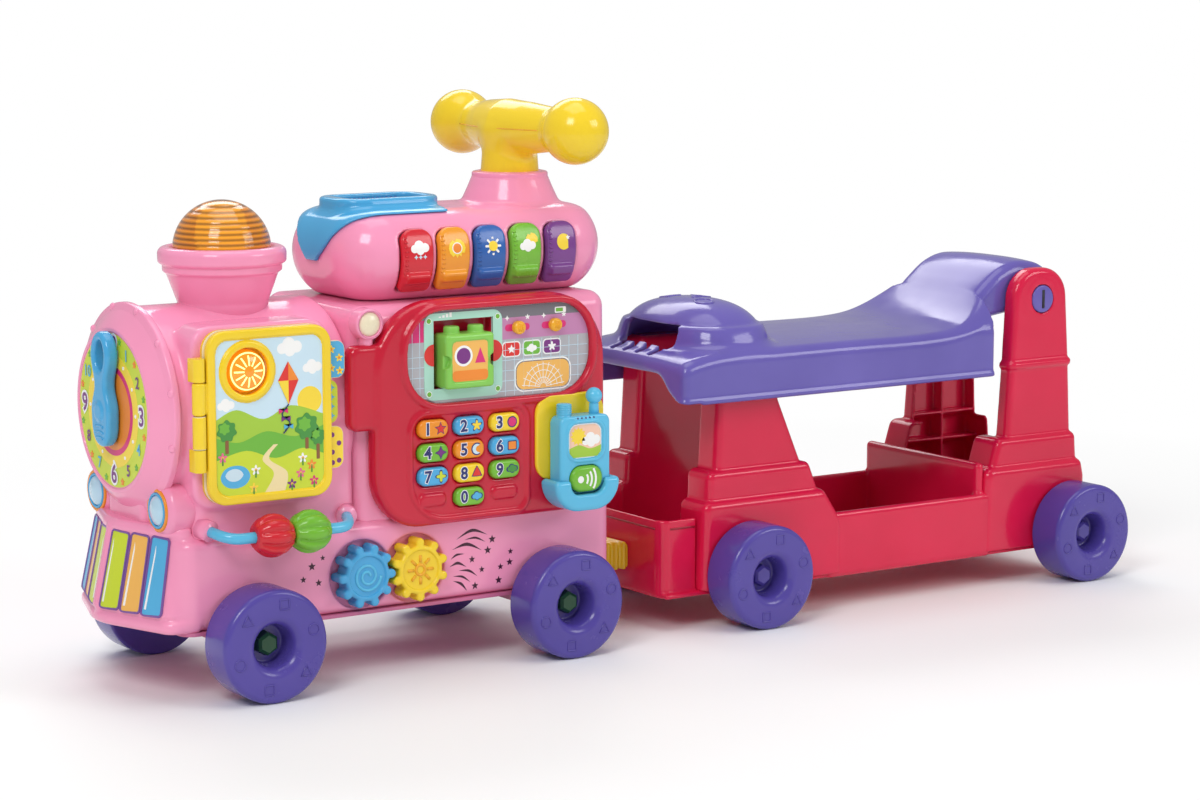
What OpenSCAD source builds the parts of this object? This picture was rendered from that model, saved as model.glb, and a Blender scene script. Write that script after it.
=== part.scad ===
// Ride-on train: a push-along engine with an activity side, and a hinged ride-on wagon behind it.
// X runs from the nose to the tail, the activity side faces -Y and Z is up. Lengths are in millimetres.
// Places along X are measured from the engine's front axle, then the whole train is centred.

/* [Wheels] */
// Rolling radius of every wheel
wheel_r = 46; // [42:1:47]
// Width of a wheel
wheel_w = 37; // [30:1:37]
// Width of the train over the outer faces of the wheels
track_w = 250; // [250:1:262]
// Radius of the open centre of a wheel
hub_hole_r = 18; // [14:1:20]
// Radius of the steel axles
axle_r = 4; // [3:0.5:4.5]

/* [Engine] */
// Distance between the engine's axles
engine_wheelbase = 285; // [278:1:292]
// Distance from the front axle to the tip of the nose
nose_reach = 96; // [92:1:100]
// Height of the underside of the base
base_bottom = 56; // [55:1:58]
// Height of the top of the base
base_top = 130; // [129:1:131]
// Half width of the base
base_half = 84; // [82:1:85]
// Radius of the boiler drum
boiler_r = 82; // [80:1:83]
// Height of the boiler's axis
boiler_z = 226; // [225:1:227]
// Wall thickness of the moulded shells
wall = 2.6; // [2:0.1:2.8]
// Radius of the headlight pods
pod_r = 21; // [18:1:22]

/* [Clock] */
// Radius of the clock dial
dial_r = 63; // [60:1:64]
// Length of the clock hand from its pivot
hand_len = 62; // [54:1:64]

/* [Chimney] */
// Radius of the chimney's rolled rim
rim_r = 48; // [46:1:50]
// Height of the chimney's top
chimney_top = 350; // [346:1:354]
// Radius of the amber dome
dome_r = 40; // [37:1:42]

/* [Console] */
// Radius of the rounded console roof
console_r = 42; // [41:1:43]
// Height of the console's middle
console_z = 341; // [340:1:342]
// Distance between neighbouring weather keys
tune_pitch = 35; // [34:0.5:35.5]
// Width of a weather key
tune_w = 29; // [26:0.5:29.5]

/* [Handle] */
// Height of the push handle's bar
handle_z = 440; // [436:1:448]
// Distance between the ball ends of the handle
handle_span = 180; // [160:1:190]
// Radius of the ball ends
ball_r = 28; // [24:1:29]

/* [Book] */
// Width of the book cover
book_w = 110; // [106:1:111]
// Height of the book cover
book_h = 138; // [134:1:140]
// Thickness of the cover's plate
cover_t = 4.6; // [3:0.1:4.8]
// Radius of the amber push light
light_r = 17; // [14:0.5:17]

/* [Phone panel] */
// Width of a number key
key_w = 28; // [24:0.5:28.5]
// Height of a number key
key_h = 15; // [13:0.5:15.5]
// Width of the building block
block_w = 46; // [42:1:48]
// Width of the toy handset
handset_w = 50; // [46:1:51]

/* [Gears and beads] */
// Distance between the two gears
gear_gap = 50; // [49.5:0.5:52]
// Radius of a bead
bead_r = 17.5; // [15:0.5:18]
// Length of a bead
bead_len = 32; // [28:0.5:32.5]
// Radius of the bead rod
rod_r = 4.5; // [3.5:0.1:4.8]

/* [Wagon] */
// Distance from the hitch pin to the wagon's front axle
wagon_front = 122; // [120:1:127]
// Distance between the wagon's axles
wagon_wheelbase = 377; // [374:1:380]
// Half width of the wagon's legs
leg_half = 86; // [84:1:86]
// Height of the tub's side walls
tub_top = 87; // [80:1:90]
// Height of the seat's flat top
seat_z = 246; // [244:1:250]
// Half width of the seat
seat_half = 90; // [89:1:92]
// Height of the seat's hinge pins
seat_pin_z = 265; // [263:1:266]
// Radius of the seat's hinge pins
seat_pin_r = 13; // [10:0.5:14]

/* [Fits] */
// Radial clearance of a turning fit
turn_fit = 0.08; // [0.04:0.01:0.1]
// Clearance round a sliding key or knob
key_fit = 0.3; // [0.25:0.05:0.4]
// Clearance between two fixed shells
seat_fit = 0.2; // [0.1:0.05:0.4]

/* [Hidden] */
$fn = 64;
digits = ["0", "1", "2", "3", "4", "5", "6", "7", "8", "9"];
tune_colours = ["crimson", "orange", "royalblue", "limegreen", "mediumpurple"];

// Where the engine ends, the wagon starts and the train is centred along X
boiler_back = 97;
cab_len = 247.8;
cab_front = boiler_back + seat_fit;
cab_tail = cab_front + cab_len;
base_tail = max(engine_wheelbase + 62, cab_tail + 2);
hitch_x = base_tail + 20;
wagon_x = hitch_x + wagon_front;
wagon_rear = wagon_x + wagon_wheelbase;
train_len = nose_reach + wagon_rear + wheel_r;
front_axle_x = nose_reach - train_len / 2;
wheel_out = track_w / 2;
wheel_in = wheel_out - wheel_w;

// Engine body
base_front = -60;
nose_top = base_top + 8;
nose_back = base_front;
nose_sweep = 24;
nose_lean = 15;
nose_end = max(nose_back, nose_sweep + nose_lean - nose_reach);
nose_round = 60;
boiler_front = -61;
dial_depth = 17;
dial_x = boiler_front - dial_depth;
ring_x = boiler_front - 18;
lower_front = -48;
neck_front = -70;
neck_half = 34;
pod_x = -66;
pod_y = 56;
pod_z = boiler_z - 74;
hand_pin_r = 5;
hand_t = 11;
chimney_x = 21;
cab_half = 80;
cab_top = console_z - 37;

// Console roof and its keys
console_front = cab_front + 8;
console_tail = cab_tail + 17;
console_half = 26;
tune_first = 164;
tune_out = console_r + 4.5;
tune_in = console_r - wall;
tune_top = 31;
tune_bottom = -41;
tune_pivot_r = console_r - wall - 5.6;
tune_pivot_a = 33;
tune_pivot_y = -console_half - tune_pivot_r * cos(tune_pivot_a);
tune_pivot_z = console_z + tune_pivot_r * sin(tune_pivot_a);
rail_r = 2.5;
chute_t = 3.4;
handle_x = console_tail - 65;
handle_sweep = 8;
pedestal_top = console_z + console_r + 18;
spigot_r = 15;

// Book on the boiler's flat side
pad_y = -(boiler_r + 4);
book_x0 = -43.5;
book_x1 = book_x0 + book_w;
book_z = 227;
book_z0 = book_z - book_h / 2;
book_z1 = book_z + book_h / 2;
back_t = 2.5;
page_t = 2.5;
leaf_gap = 0.5;
back_y = pad_y - back_t;
page_y = back_y - leaf_gap - page_t;
cover_y = page_y - leaf_gap - cover_t;
cover_rim = 2;
hinge_x = book_x0 - 6;
hinge_y = page_y - 3;
barrel_r = 5;
hinge_pin_r = 2.5;
hinge_z = [186, 204, 230.5, 257, 275.5];
light_x = -8;
light_z = book_z + 36;
tab_reach = 15.5;

// Beads, gears and the speaker on the base
rod_y = -106;
rod_z = base_top + 2;
rod_x = [-30, 78];
rod_end = [10, 27, 6];
bead_x = [7, 40];
gear_x = [99.5, 99.5 + gear_gap];
recess_r = gear_gap * 0.555;
recess_rise = 0.15;
gear_z = base_bottom + recess_r + wall + recess_rise;
gear_pin_r = 4;
gear_teeth = 10;
gear_root = gear_gap * 0.41;
tooth_at = gear_gap * 0.455;
tooth_r = gear_gap * 0.076;
gear_floor = -(base_half - 6);
gear_face = -(base_half + 12);
speaker_x = 212;
speaker_z = 92;
speaker_r = 24;

// Phone panel
panel_back = -(cab_half + seat_fit);
panel_face = -97;
panel_skin = 3;
shoulder_x = cab_front - 11.2;
panel_x = [107, 331];
panel_z = [122, 308];
screen_x = [137, 315];
screen_z = [223, 299];
screen_floor = panel_face + 4.6;
screen_t = 2.2;
bay_x = [163, 220];
bay_z = [234.7, 291];
bay_floor = -83;
block_x = 191.5;
block_h = 45;
block_out = -107;
slider_x = [244, 280];
slider_z = 280.5;
slider_travel = 5;
key_x0 = 159.6;
key_dx = 34.5;
key_z0 = 203;
key_dz = 19.7;
key_out = panel_face - 4;
key_flange = 1.5;
handset_x = 296;
handset_back = -100.6;
handset_face = -119;
handset_z = [137, 206];
pocket_top = 152;
slant = [5.5, 14];
call_z = 150.5;

// Wagon
hitch_pin_r = 5;
tub_front = wagon_x - 87;
tub_tail = wagon_rear + 20;
tub_bottom = 29;
floor_t = 3;
tub_half = leg_half - 1.5;
tray_half = 77;
tray_top = 98;
leg_in = 46;
leg_wall = 3;
front_leg_x = [wagon_x - 49, wagon_x + 107];
rear_leg_x = [wagon_rear - 103, wagon_rear + 21];
seat_pin_x = wagon_rear - 27;
post_in = 61;
post_out = 76;
post_ring_z = 205;
seat_front = wagon_x - 71;
seat_tail = wagon_rear - 100;
seat_skirt = seat_z - 45;
seat_wall = 3;
hood_x = wagon_x + 4;

// Outline whose corners [x, y, r] are rounded with radius r
function unit(v) = v / norm(v);
function swing(a, b) = ((b - a + 540) % 360) - 180;
function corner(p, q, s, r, n) = let (
        a = unit(p - q),
        b = unit(s - q),
        half = acos(max(-1, min(1, a * b))) / 2,
        c = q + unit(a + b) * (r / sin(half)),
        u = q + a * (r / tan(half)) - c,
        v = q + b * (r / tan(half)) - c,
        start = atan2(u[1], u[0]),
        turn = swing(start, atan2(v[1], v[0]))
    ) [for (i = [0:n]) c + r * [cos(start + turn * i / n), sin(start + turn * i / n)]];
function flat(p) = [p[0], p[1]];
function rounded(pts, n = 6) = let (m = len(pts)) [
    for (i = [0:m - 1]) each pts[i][2] > 0
        ? corner(flat(pts[(i + m - 1) % m]), flat(pts[i]), flat(pts[(i + 1) % m]), pts[i][2], n)
        : [flat(pts[i])]
];
function rect(x, z, r) = [[x[0], z[0], r], [x[1], z[0], r], [x[1], z[1], r], [x[0], z[1], r]];
function grow(range, by) = [range[0] - by, range[1] + by];
function about(c, w) = [c - w / 2, c + w / 2];

// Prisms that run along one axis between two places
module prism_x(pts, x, n = 6) {
    translate([x[0], 0, 0]) rotate([90, 0, 90]) linear_extrude(x[1] - x[0]) polygon(rounded(pts, n));
}
module prism_y(pts, y, n = 6) {
    translate([0, y[1], 0]) rotate([90, 0, 0]) linear_extrude(y[1] - y[0]) polygon(rounded(pts, n));
}
module prism_z(pts, z, n = 6) {
    translate([0, 0, z[0]]) linear_extrude(z[1] - z[0]) polygon(rounded(pts, n));
}
module box(x, y, z) {
    translate([x[0], y[0], z[0]]) cube([x[1] - x[0], y[1] - y[0], z[1] - z[0]]);
}
module round_x(r, x, y, z) {
    translate([x[0], y, z]) rotate([0, 90, 0]) cylinder(r = r, h = x[1] - x[0]);
}
module round_y(r, x, y, z) {
    translate([x, y[1], z]) rotate([90, 0, 0]) cylinder(r = r, h = y[1] - y[0]);
}
module round_z(r, x, y, z) {
    translate([x, y, z[0]]) cylinder(r = r, h = z[1] - z[0]);
}
module placed() {
    translate([front_axle_x, 0, 0]) children();
}
module both_sides() {
    children();
    mirror([0, 1, 0]) children();
}

// Wheels and axles
wheel_lip = 9;
wheel_gap = 1.5;
hub_floor = 14;
module wheel() {
    shoulder = wheel_w * 0.14;
    rim = [
        [axle_r + 0.02, 0, 0], [wheel_r, 0, 3], [wheel_r, wheel_w, shoulder],
        [hub_hole_r, wheel_w, wheel_lip], [hub_hole_r - 2, hub_floor, 2], [axle_r + 0.02, hub_floor, 0]
    ];
    rotate([-90, 0, 0]) rotate_extrude() polygon(rounded(rim));
}
module wheel_pair(x) {
    placed() both_sides() translate([x, wheel_in, wheel_r]) wheel();
}
module axle(x) {
    reach = wheel_in + hub_floor - 1;
    placed() round_y(axle_r, x, [-reach, reach], wheel_r);
}

module wheel_wells(axles) {
    y = [wheel_in - wheel_gap, wheel_out + wheel_w];
    both_sides() for (x = axles) round_y(wheel_r + wheel_gap, x, y, wheel_r);
}

// Engine base
module nose(inset, floor_z, roof_z) {
    levels = [[floor_z, 10, 4], [floor_z + 14, 0, 0], [roof_z, nose_lean, 8]];
    hull() for (level = levels) {
        half = base_half - 4 - level[2] - inset;
        blunt = nose_round / sin(atan2(half, nose_sweep)) - nose_round;
        tip = -nose_reach + level[1] + inset;
        translate([0, 0, level[0]]) linear_extrude(0.01) polygon(rounded([
            [nose_back, -half - 4, 0], [tip + nose_sweep, -half, 0], [tip - blunt, 0, nose_round],
            [tip + nose_sweep, half, 0], [nose_back, half + 4, 0]
        ], 8));
    }
}
module base_body(inset) {
    intersection() {
        prism_z(rect([base_front + inset - 0.1, base_tail - inset], grow([0, 0], base_half - inset), 12),
            [base_bottom - inset, base_top - inset]);
        prism_y([[base_front - 1, base_bottom - inset - 1, 0], [base_tail - inset, base_bottom - inset - 1, 0],
            [base_tail - inset, base_top - inset, 24], [base_front - 1, base_top - inset, 0]],
            grow([0, 0], base_half));
    }
}
screw_xy = [[-40, 50], [60, 62], [engine_wheelbase - 35, 50], [base_tail - 27, 50]];
screw_r = 1.6;
module screw_posts(r, z) {
    both_sides() for (p = screw_xy) round_z(r, p[0], p[1], z);
}
module grille() {
    for (i = [0:4]) translate([speaker_x, -base_half, speaker_z]) rotate([90, 0, 0])
        rotate([0, 0, 100 - 6 * i]) translate([0, 0, -wall - 1]) rotate_extrude(angle = 70 + 12 * i)
            translate([6 + 5 * i, 0]) square([2.2, wall + 2]);
}
module engine_base() {
    color("pink") placed() difference() {
        union() {
            difference() {
                union() {
                    base_body(0);
                    nose(0, base_bottom, nose_top);
                }
                base_body(wall);
                nose(wall, base_bottom - 0.01, nose_top - wall);
            }
            for (x = gear_x) round_y(recess_r + wall, x, [-base_half, gear_floor + wall], gear_z);
            screw_posts(5, [base_bottom, base_top - wall]);
        }
        for (x = gear_x) round_y(recess_r, x, [-base_half - 1, gear_floor], gear_z);
        screw_posts(screw_r + 0.05, [base_bottom - 1, base_bottom + 16]);
        grille();
        wheel_wells([0, engine_wheelbase]);
    }
    color("pink") placed() for (x = gear_x) round_y(gear_pin_r, x, [gear_face, gear_floor + 0.5], gear_z);
}

// Underside with the axle beams, the hitch fork and the battery box
plate_t = 3;
beam_half = 13;
beam_bottom = wheel_r - 9;
battery_x = [110, 200];
battery_half = 36;
hitch_z = [48, 71];
fork_gap = 0.3;
fork_t = 5;
module base_plate() {
    plate_z = [base_bottom - plate_t, base_bottom];
    color("hotpink") placed() difference() {
        union() {
            prism_z(rect([base_front, base_tail], grow([0, 0], base_half), 12), plate_z);
            for (x = [0, engine_wheelbase])
                box(about(x, beam_half * 2), grow([0, 0], base_half - 2), [beam_bottom, base_bottom]);
            box(grow(battery_x, wall), grow([0, 0], battery_half + wall), [base_bottom, base_bottom + 24]);
            box([base_tail - 20, hitch_x], grow([0, 0], 22), [hitch_z[0] - fork_t - fork_gap, hitch_z[0] - fork_gap]);
            round_z(22, hitch_x, 0, [hitch_z[0] - fork_t - fork_gap, hitch_z[0] - fork_gap]);
            box([base_tail - 20, base_tail - 12], grow([0, 0], 22), [hitch_z[0] - fork_t, base_bottom]);
            round_z(hitch_pin_r, hitch_x, 0, [hitch_z[0] - fork_t, hitch_z[1] + 4]);
        }
        for (x = [0, engine_wheelbase]) round_y(axle_r + turn_fit, x, grow([0, 0], base_half), wheel_r);
        box(battery_x, grow([0, 0], battery_half), [base_bottom - 5, base_bottom + 24 - wall]);
        screw_posts(screw_r + 0.05, grow(plate_z, 1));
        wheel_wells([0, engine_wheelbase]);
    }
}
module battery_door() {
    color("pink") placed() box(grow(battery_x, -0.2), grow([0, 0], battery_half - 0.2),
        [base_bottom - plate_t, base_bottom]);
}
module body_screws() {
    head_z = base_bottom - plate_t;
    color("silver") placed() {
        screw_posts(3.4, [head_z - 2, head_z]);
        screw_posts(screw_r, [head_z, base_bottom + 14]);
    }
}
module speaker() {
    color("dimgray") placed() {
        round_y(speaker_r, speaker_x, [-base_half + wall, -base_half + wall + 5], speaker_z);
        round_y(speaker_r * 0.6, speaker_x, [-base_half + wall + 5, -base_half + wall + 18], speaker_z);
    }
}

// Boiler with its dial, headlight pods and the flat side for the book
module boiler_front_cap() {
    profile = [
        [0, dial_depth - 3, 0], [dial_r - 1, dial_depth - 3, 0], [boiler_r - wall - 3, 4, 0],
        [boiler_r - wall - 3, -0.5, 0], [boiler_r + 4, -0.5, 1.5], [boiler_r + 4, 3, 1.5], [boiler_r - 1, 7, 2],
        [dial_r + 3, 18, 2], [dial_r, 18, 0.8], [dial_r, dial_depth, 0], [0, dial_depth, 0]
    ];
    translate([boiler_front, 0, boiler_z]) rotate([0, -90, 0]) rotate_extrude() polygon(rounded(profile));
}
module loaf(inset, x) {
    round_x(boiler_r - inset, x, 0, boiler_z);
    box([lower_front + inset, x[1]], grow([0, 0], boiler_r - 1 - inset), [base_top - inset, boiler_z]);
}
module headlight_pods(r, front) {
    len = pod_x + 18 + r - front;
    both_sides() translate([front, pod_y, pod_z]) rotate([0, 90, 0]) rotate_extrude()
        polygon(rounded([[0, 0, 0], [r, 0, 1.5], [r, len, r - 1], [0, len, 0]], 8));
}
module pad(inset, y) {
    prism_y(rect([book_x0 - 7 + inset, book_x1 + 4 - inset], [book_z0 - 4 + inset, book_z1 + 3 - inset], 16), y);
}
module rod_path(r) {
    near = [for (i = [0, 1]) [rod_x[i], rod_y, rod_z]];
    far = [for (i = [0, 1]) [rod_x[i] + (i * 2 - 1) * rod_end[0], rod_y + rod_end[1], rod_z + rod_end[2]]];
    round_x(r, rod_x, rod_y, rod_z);
    for (i = [0, 1]) {
        step = far[i] - near[i];
        translate(near[i]) sphere(r * 1.08);
        translate(near[i]) rotate([0, acos(step[2] / norm(step)), atan2(step[1], step[0])])
            cylinder(r = r, h = norm(step));
    }
}
module boiler_shell() {
    color("pink") placed() {
        difference() {
            union() {
                difference() {
                    union() {
                        loaf(0, [boiler_front, boiler_back]);
                        pad(0, [pad_y, -60]);
                    }
                    loaf(wall, [boiler_front - 1, boiler_back + 1]);
                    pad(wall, [pad_y + wall, -50]);
                }
                difference() {
                    union() {
                        boiler_front_cap();
                        box([neck_front, lower_front + 1], grow([0, 0], neck_half), [base_top, boiler_z - 60]);
                    }
                    box([neck_front + wall, lower_front + 2], grow([0, 0], neck_half - wall),
                        [base_top - 1, boiler_z - 60 - wall]);
                    headlight_pods(pod_r + 0.5, ring_x - 2);
                }
                difference() {
                    headlight_pods(pod_r, pod_x);
                    loaf(wall, [boiler_front - 1, boiler_back]);
                }
            }
            box([ring_x - 3, nose_end + seat_fit], grow([0, 0], 100), [base_top - 20, nose_top + seat_fit]);
            box([ring_x - 3, boiler_back], grow([0, 0], 100), [base_top - 20, base_top]);
            round_y(light_r + key_fit, light_x, [pad_y - 1, pad_y + wall + 1], light_z);
            rod_path(rod_r + 0.1);
        }
        round_x(hand_pin_r, [ring_x - hand_t - 1, dial_x + 1], 0, boiler_z);
    }
}
module bead_rod() {
    color("deepskyblue") placed() rod_path(rod_r);
}
module bead(x) {
    flutes = 8;
    placed() difference() {
        translate([x - bead_len / 2, rod_y, rod_z]) rotate([0, 90, 0]) rotate_extrude() polygon(rounded([
            [rod_r + 0.4, 0, 0], [bead_r * 0.62, 0, 3], [bead_r, bead_len * 0.32, 5],
            [bead_r, bead_len * 0.68, 5], [bead_r * 0.62, bead_len, 3], [rod_r + 0.4, bead_len, 0]
        ]));
        for (i = [0:flutes - 1]) rotate_about_rod(i * 360 / flutes) round_x(2.2, about(x, bead_len + 2),
            rod_y, rod_z + bead_r + 0.6);
    }
}
module rotate_about_rod(a) {
    translate([0, rod_y, rod_z]) rotate([a, 0, 0]) translate([0, -rod_y, -rod_z]) children();
}
module clock_hand() {
    back = ring_x - 0.6;
    front = back - hand_t;
    loop_r = 15;
    loop_z = boiler_z + hand_len - loop_r;
    color("deepskyblue") placed() difference() {
        union() {
            round_x(13, [front, dial_x - 0.3], 0, boiler_z);
            box([front, back], [-9, 9], [boiler_z, loop_z]);
            round_x(loop_r, [front, back], 0, loop_z);
            round_x(11, [front, back], 0, boiler_z - 14);
        }
        round_x(hand_pin_r + turn_fit, [front - 1, dial_x + 1], 0, boiler_z);
        round_x(loop_r - 7, [front - 1, back + 1], 0, loop_z);
    }
}

// Chimney and dome
module chimney() {
    z = chimney_top;
    color("pink") placed() difference() {
        translate([chimney_x, 0, 0]) rotate_extrude() polygon(rounded([
            [33, z - 60, 0], [36, z - 60, 0], [rim_r - 4, z - 20, 4], [rim_r - 1, z - 16, 0],
            [rim_r + 4, z - 12, 4], [rim_r + 4, z + 2, 6], [rim_r - 6, z + 2, 3], [rim_r - 7, z, 0],
            [dome_r - 4, z, 0], [dome_r - 4, z - 4, 0]
        ]));
        round_x(boiler_r + 0.1, [boiler_front, boiler_back], 0, boiler_z);
    }
}
module dome_lens() {
    color("orange", 0.8) placed() translate([chimney_x, 0, chimney_top]) intersection() {
        difference() {
            sphere(dome_r);
            sphere(dome_r - 2.2);
        }
        round_z(dome_r + 1, 0, 0, [0, dome_r + 1]);
    }
}

// Cab body with the little lamp boss beside the panel
lamp_x = 105;
lamp_z = 292;
cab_edge = 14;
module cab_body(inset, floor_z) {
    x = [cab_front + inset, cab_tail - inset];
    y = grow([0, 0], cab_half - inset);
    z = [floor_z, cab_top - inset];
    r = cab_edge - inset;
    intersection() {
        prism_z(rect(x, y, r), z);
        prism_x([[y[0], z[0], 0], [y[1], z[0], 0], [y[1], z[1], r], [y[0], z[1], r]], x);
        prism_y([[x[0], z[0], 0], [x[1], z[0], 0], [x[1], z[1], r], [x[0], z[1], 0]], y);
    }
}
module cab_shell() {
    color("pink") placed() {
        difference() {
            cab_body(0, base_top);
            cab_body(wall, base_top - 1);
        }
        round_y(12.5, lamp_x, [-93, -cab_half + 1], lamp_z);
        box([lamp_x - 6, lamp_x + 6], [-91, -cab_half + 1], [275.4, lamp_z]);
    }
}

// Console roof with the key openings, the chute opening and the handle's pedestal
module capsule(r) {
    grown = r - console_r;
    x = grow([console_front, console_tail], grown);
    y = grow([0, 0], console_half + r);
    z = grow([console_z, console_z], r);
    intersection() {
        prism_x(rect(y, z, r - 0.1), x, 8);
        prism_y(rect(x, z, r - 0.1), y, 8);
        prism_z(rect(x, y, r - 0.1), z, 8);
    }
}
module tune_sector(r_in, r_out, top, bottom, x) {
    fan = [for (a = [bottom, tune_top / 2, top]) [-cos(a), sin(a)] * r_out * 1.5];
    intersection() {
        difference() {
            round_x(r_out, x, -console_half, console_z);
            round_x(r_in, grow(x, 1), -console_half, console_z);
        }
        translate([0, -console_half, console_z]) prism_x(concat([[0, 0, 0]], [for (p = fan) [p[0], p[1], 0]]), x);
    }
}
function tune_x(i) = tune_first + (i - 1) * tune_pitch;
slot_x = [132, 206];
slot_half = 21;
module console_shell() {
    color("pink") placed() difference() {
        union() {
            difference() {
                union() {
                    capsule(console_r);
                    translate([handle_x, 0, console_z + console_r - 12])
                        cylinder(r1 = 50, r2 = 33, h = pedestal_top - console_z - console_r + 12);
                }
                capsule(console_r - wall);
                translate([handle_x, 0, console_z + console_r - 12 - wall])
                    cylinder(r1 = 50 - wall, r2 = 33 - wall, h = pedestal_top - console_z - console_r + 12);
                for (i = [1:5]) tune_sector(tune_in - 4, tune_out + 4, tune_top + 1.5, tune_bottom - 5.5,
                    about(tune_x(i), tune_w + key_fit * 4));
            }
            round_x(rail_r, [tune_x(1) - tune_pitch / 2, tune_x(5) + tune_pitch / 2], tune_pivot_y, tune_pivot_z);
            for (i = [0:5]) tune_sector(tune_pivot_r - rail_r, tune_in + 1, tune_pivot_a + 4, tune_pivot_a - 6,
                about(tune_x(i) + tune_pitch / 2, 3));
            round_z(spigot_r + 3, handle_x, 0, [console_z + console_r - 6, pedestal_top]);
        }
        round_z(spigot_r + turn_fit, handle_x, 0, [console_z + console_r - 10, pedestal_top + 1]);
        prism_z(rect(grow(slot_x, 2.4), grow([0, 0], slot_half + 2.4), 12), [console_z, console_z + 60]);
        box([0, 500], [-200, 200], [console_z - 100, cab_top]);
    }
}
module tune_key(i) {
    x = about(tune_x(i), tune_w);
    color(tune_colours[i - 1]) placed() difference() {
        union() {
            tune_sector(tune_in + 0.6, tune_out, tune_top, tune_bottom, x);
            tune_sector(tune_in + 0.6, tune_out + 5, tune_bottom + 9, tune_bottom, grow(x, -2));
            round_x(rail_r + 2.4, x, tune_pivot_y, tune_pivot_z);
            tune_sector(tune_pivot_r, tune_in + 2, tune_pivot_a - 3, tune_pivot_a - 9, x);
        }
        round_x(rail_r + turn_fit, grow(x, 1), tune_pivot_y, tune_pivot_z);
    }
}
module block_chute() {
    lid = console_z + console_r;
    color("deepskyblue") placed() difference() {
        union() {
            intersection() {
                difference() {
                    capsule(console_r + chute_t);
                    capsule(console_r + 0.05);
                }
                prism_y([[100, 345, 0], [116, 342, 8], [150, lid - 14, 20], [214, lid - 9, 6], [222, lid + 2, 6],
                    [220, lid + 12, 0], [100, lid + 12, 0]], [-100, 100]);
            }
            prism_z(rect(grow(slot_x, 12), grow([0, 0], slot_half + 12), 24), [lid + 0.05, lid + 8]);
            prism_z(rect(grow(slot_x, 2.2), grow([0, 0], slot_half + 2.2), 11.8), [lid - 16, lid + 8]);
        }
        prism_z(rect(slot_x, grow([0, 0], slot_half), 10), [lid - 20, lid + 20]);
    }
}
module push_handle() {
    color("gold") placed() translate([handle_x, 0, 0]) {
        round_z(spigot_r, 0, 0, [console_z + console_r - 6, pedestal_top]);
        translate([0, 0, pedestal_top]) cylinder(r1 = 26, r2 = 22, h = handle_z - pedestal_top);
        round_y(21, handle_sweep / 2, grow([0, 0], handle_span / 4), handle_z);
        round_y(19, handle_sweep, grow([0, 0], handle_span / 2), handle_z);
        both_sides() translate([handle_sweep, handle_span / 2, handle_z]) sphere(ball_r);
    }
}

// Book: a fixed back with the hinge pin, one leaf and the cover
module leaf(y, t) {
    prism_y(rect([book_x0, book_x1], [book_z0, book_z1], 16), [y, y + t]);
}
module tab(z, reach, y, t) {
    prism_y(rect([book_x1 - 14, book_x1 + reach], z, 7), [y, y + t]);
}
module light_hole(r) {
    round_y(r, light_x, [-130, -60], light_z);
}
module hinge_arm(y, z) {
    box([hinge_x, book_x0 + 4], y, grow(z, -1));
}
module book_back() {
    ends = [[hinge_z[0], hinge_z[1] - leaf_gap / 2], [hinge_z[3] + leaf_gap / 2, hinge_z[4]]];
    color("yellow") placed() {
        difference() {
            union() {
                leaf(back_y, back_t);
                tab([214, 249], tab_reach - 5, back_y, back_t);
            }
            light_hole(light_r + key_fit);
        }
        for (z = ends) {
            round_z(barrel_r, hinge_x, hinge_y, z);
            box([hinge_x - barrel_r, book_x0 + 2], [back_y, pad_y], z);
            box([hinge_x - barrel_r, hinge_x + barrel_r], [hinge_y, pad_y], z);
        }
        round_z(hinge_pin_r, hinge_x, hinge_y, [hinge_z[0], hinge_z[4]]);
    }
}
module book_page() {
    z = [hinge_z[1] + leaf_gap / 2, hinge_z[2] - leaf_gap / 2];
    color("lightyellow") placed() difference() {
        union() {
            leaf(page_y, page_t);
            tab([251, 281], tab_reach, page_y, page_t);
            tab([178, 212], tab_reach - 2, page_y, page_t);
            round_z(barrel_r, hinge_x, hinge_y, z);
            hinge_arm([page_y, page_y + page_t], z);
        }
        round_z(hinge_pin_r + turn_fit, hinge_x, hinge_y, grow(z, 1));
        light_hole(light_r + 2.6);
    }
}
module book_cover() {
    z = [hinge_z[2] + leaf_gap / 2, hinge_z[3] - leaf_gap / 2];
    rim_w = 7;
    color("yellow") placed() difference() {
        union() {
            leaf(cover_y, cover_t);
            difference() {
                leaf(cover_y - cover_rim, cover_rim);
                prism_y(rect([book_x0 + rim_w, book_x1 - rim_w], [book_z0 + rim_w, book_z1 - rim_w], 11),
                    [cover_y - cover_rim - 1, cover_y]);
            }
            round_y(light_r + 6, light_x, [cover_y - cover_rim, cover_y + 1], light_z);
            round_z(barrel_r, hinge_x, hinge_y, z);
            hinge_arm([cover_y, cover_y + cover_t], z);
        }
        round_z(hinge_pin_r + turn_fit, hinge_x, hinge_y, grow(z, 1));
        light_hole(light_r + 2.6);
    }
}
module light_button() {
    out = cover_y - cover_rim - 1;
    dome = light_r * 1.6;
    color("orange") placed() {
        round_y(light_r + 2, light_x, [pad_y + wall + key_fit, pad_y + wall + key_fit + 2], light_z);
        intersection() {
            round_y(light_r, light_x, [out - 8, pad_y + wall + key_fit + 1], light_z);
            translate([light_x, out + sqrt(dome * dome - light_r * light_r), light_z]) sphere(dome);
        }
        round_y(light_r, light_x, [out + 3, pad_y + wall + key_fit + 1], light_z);
    }
}

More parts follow.
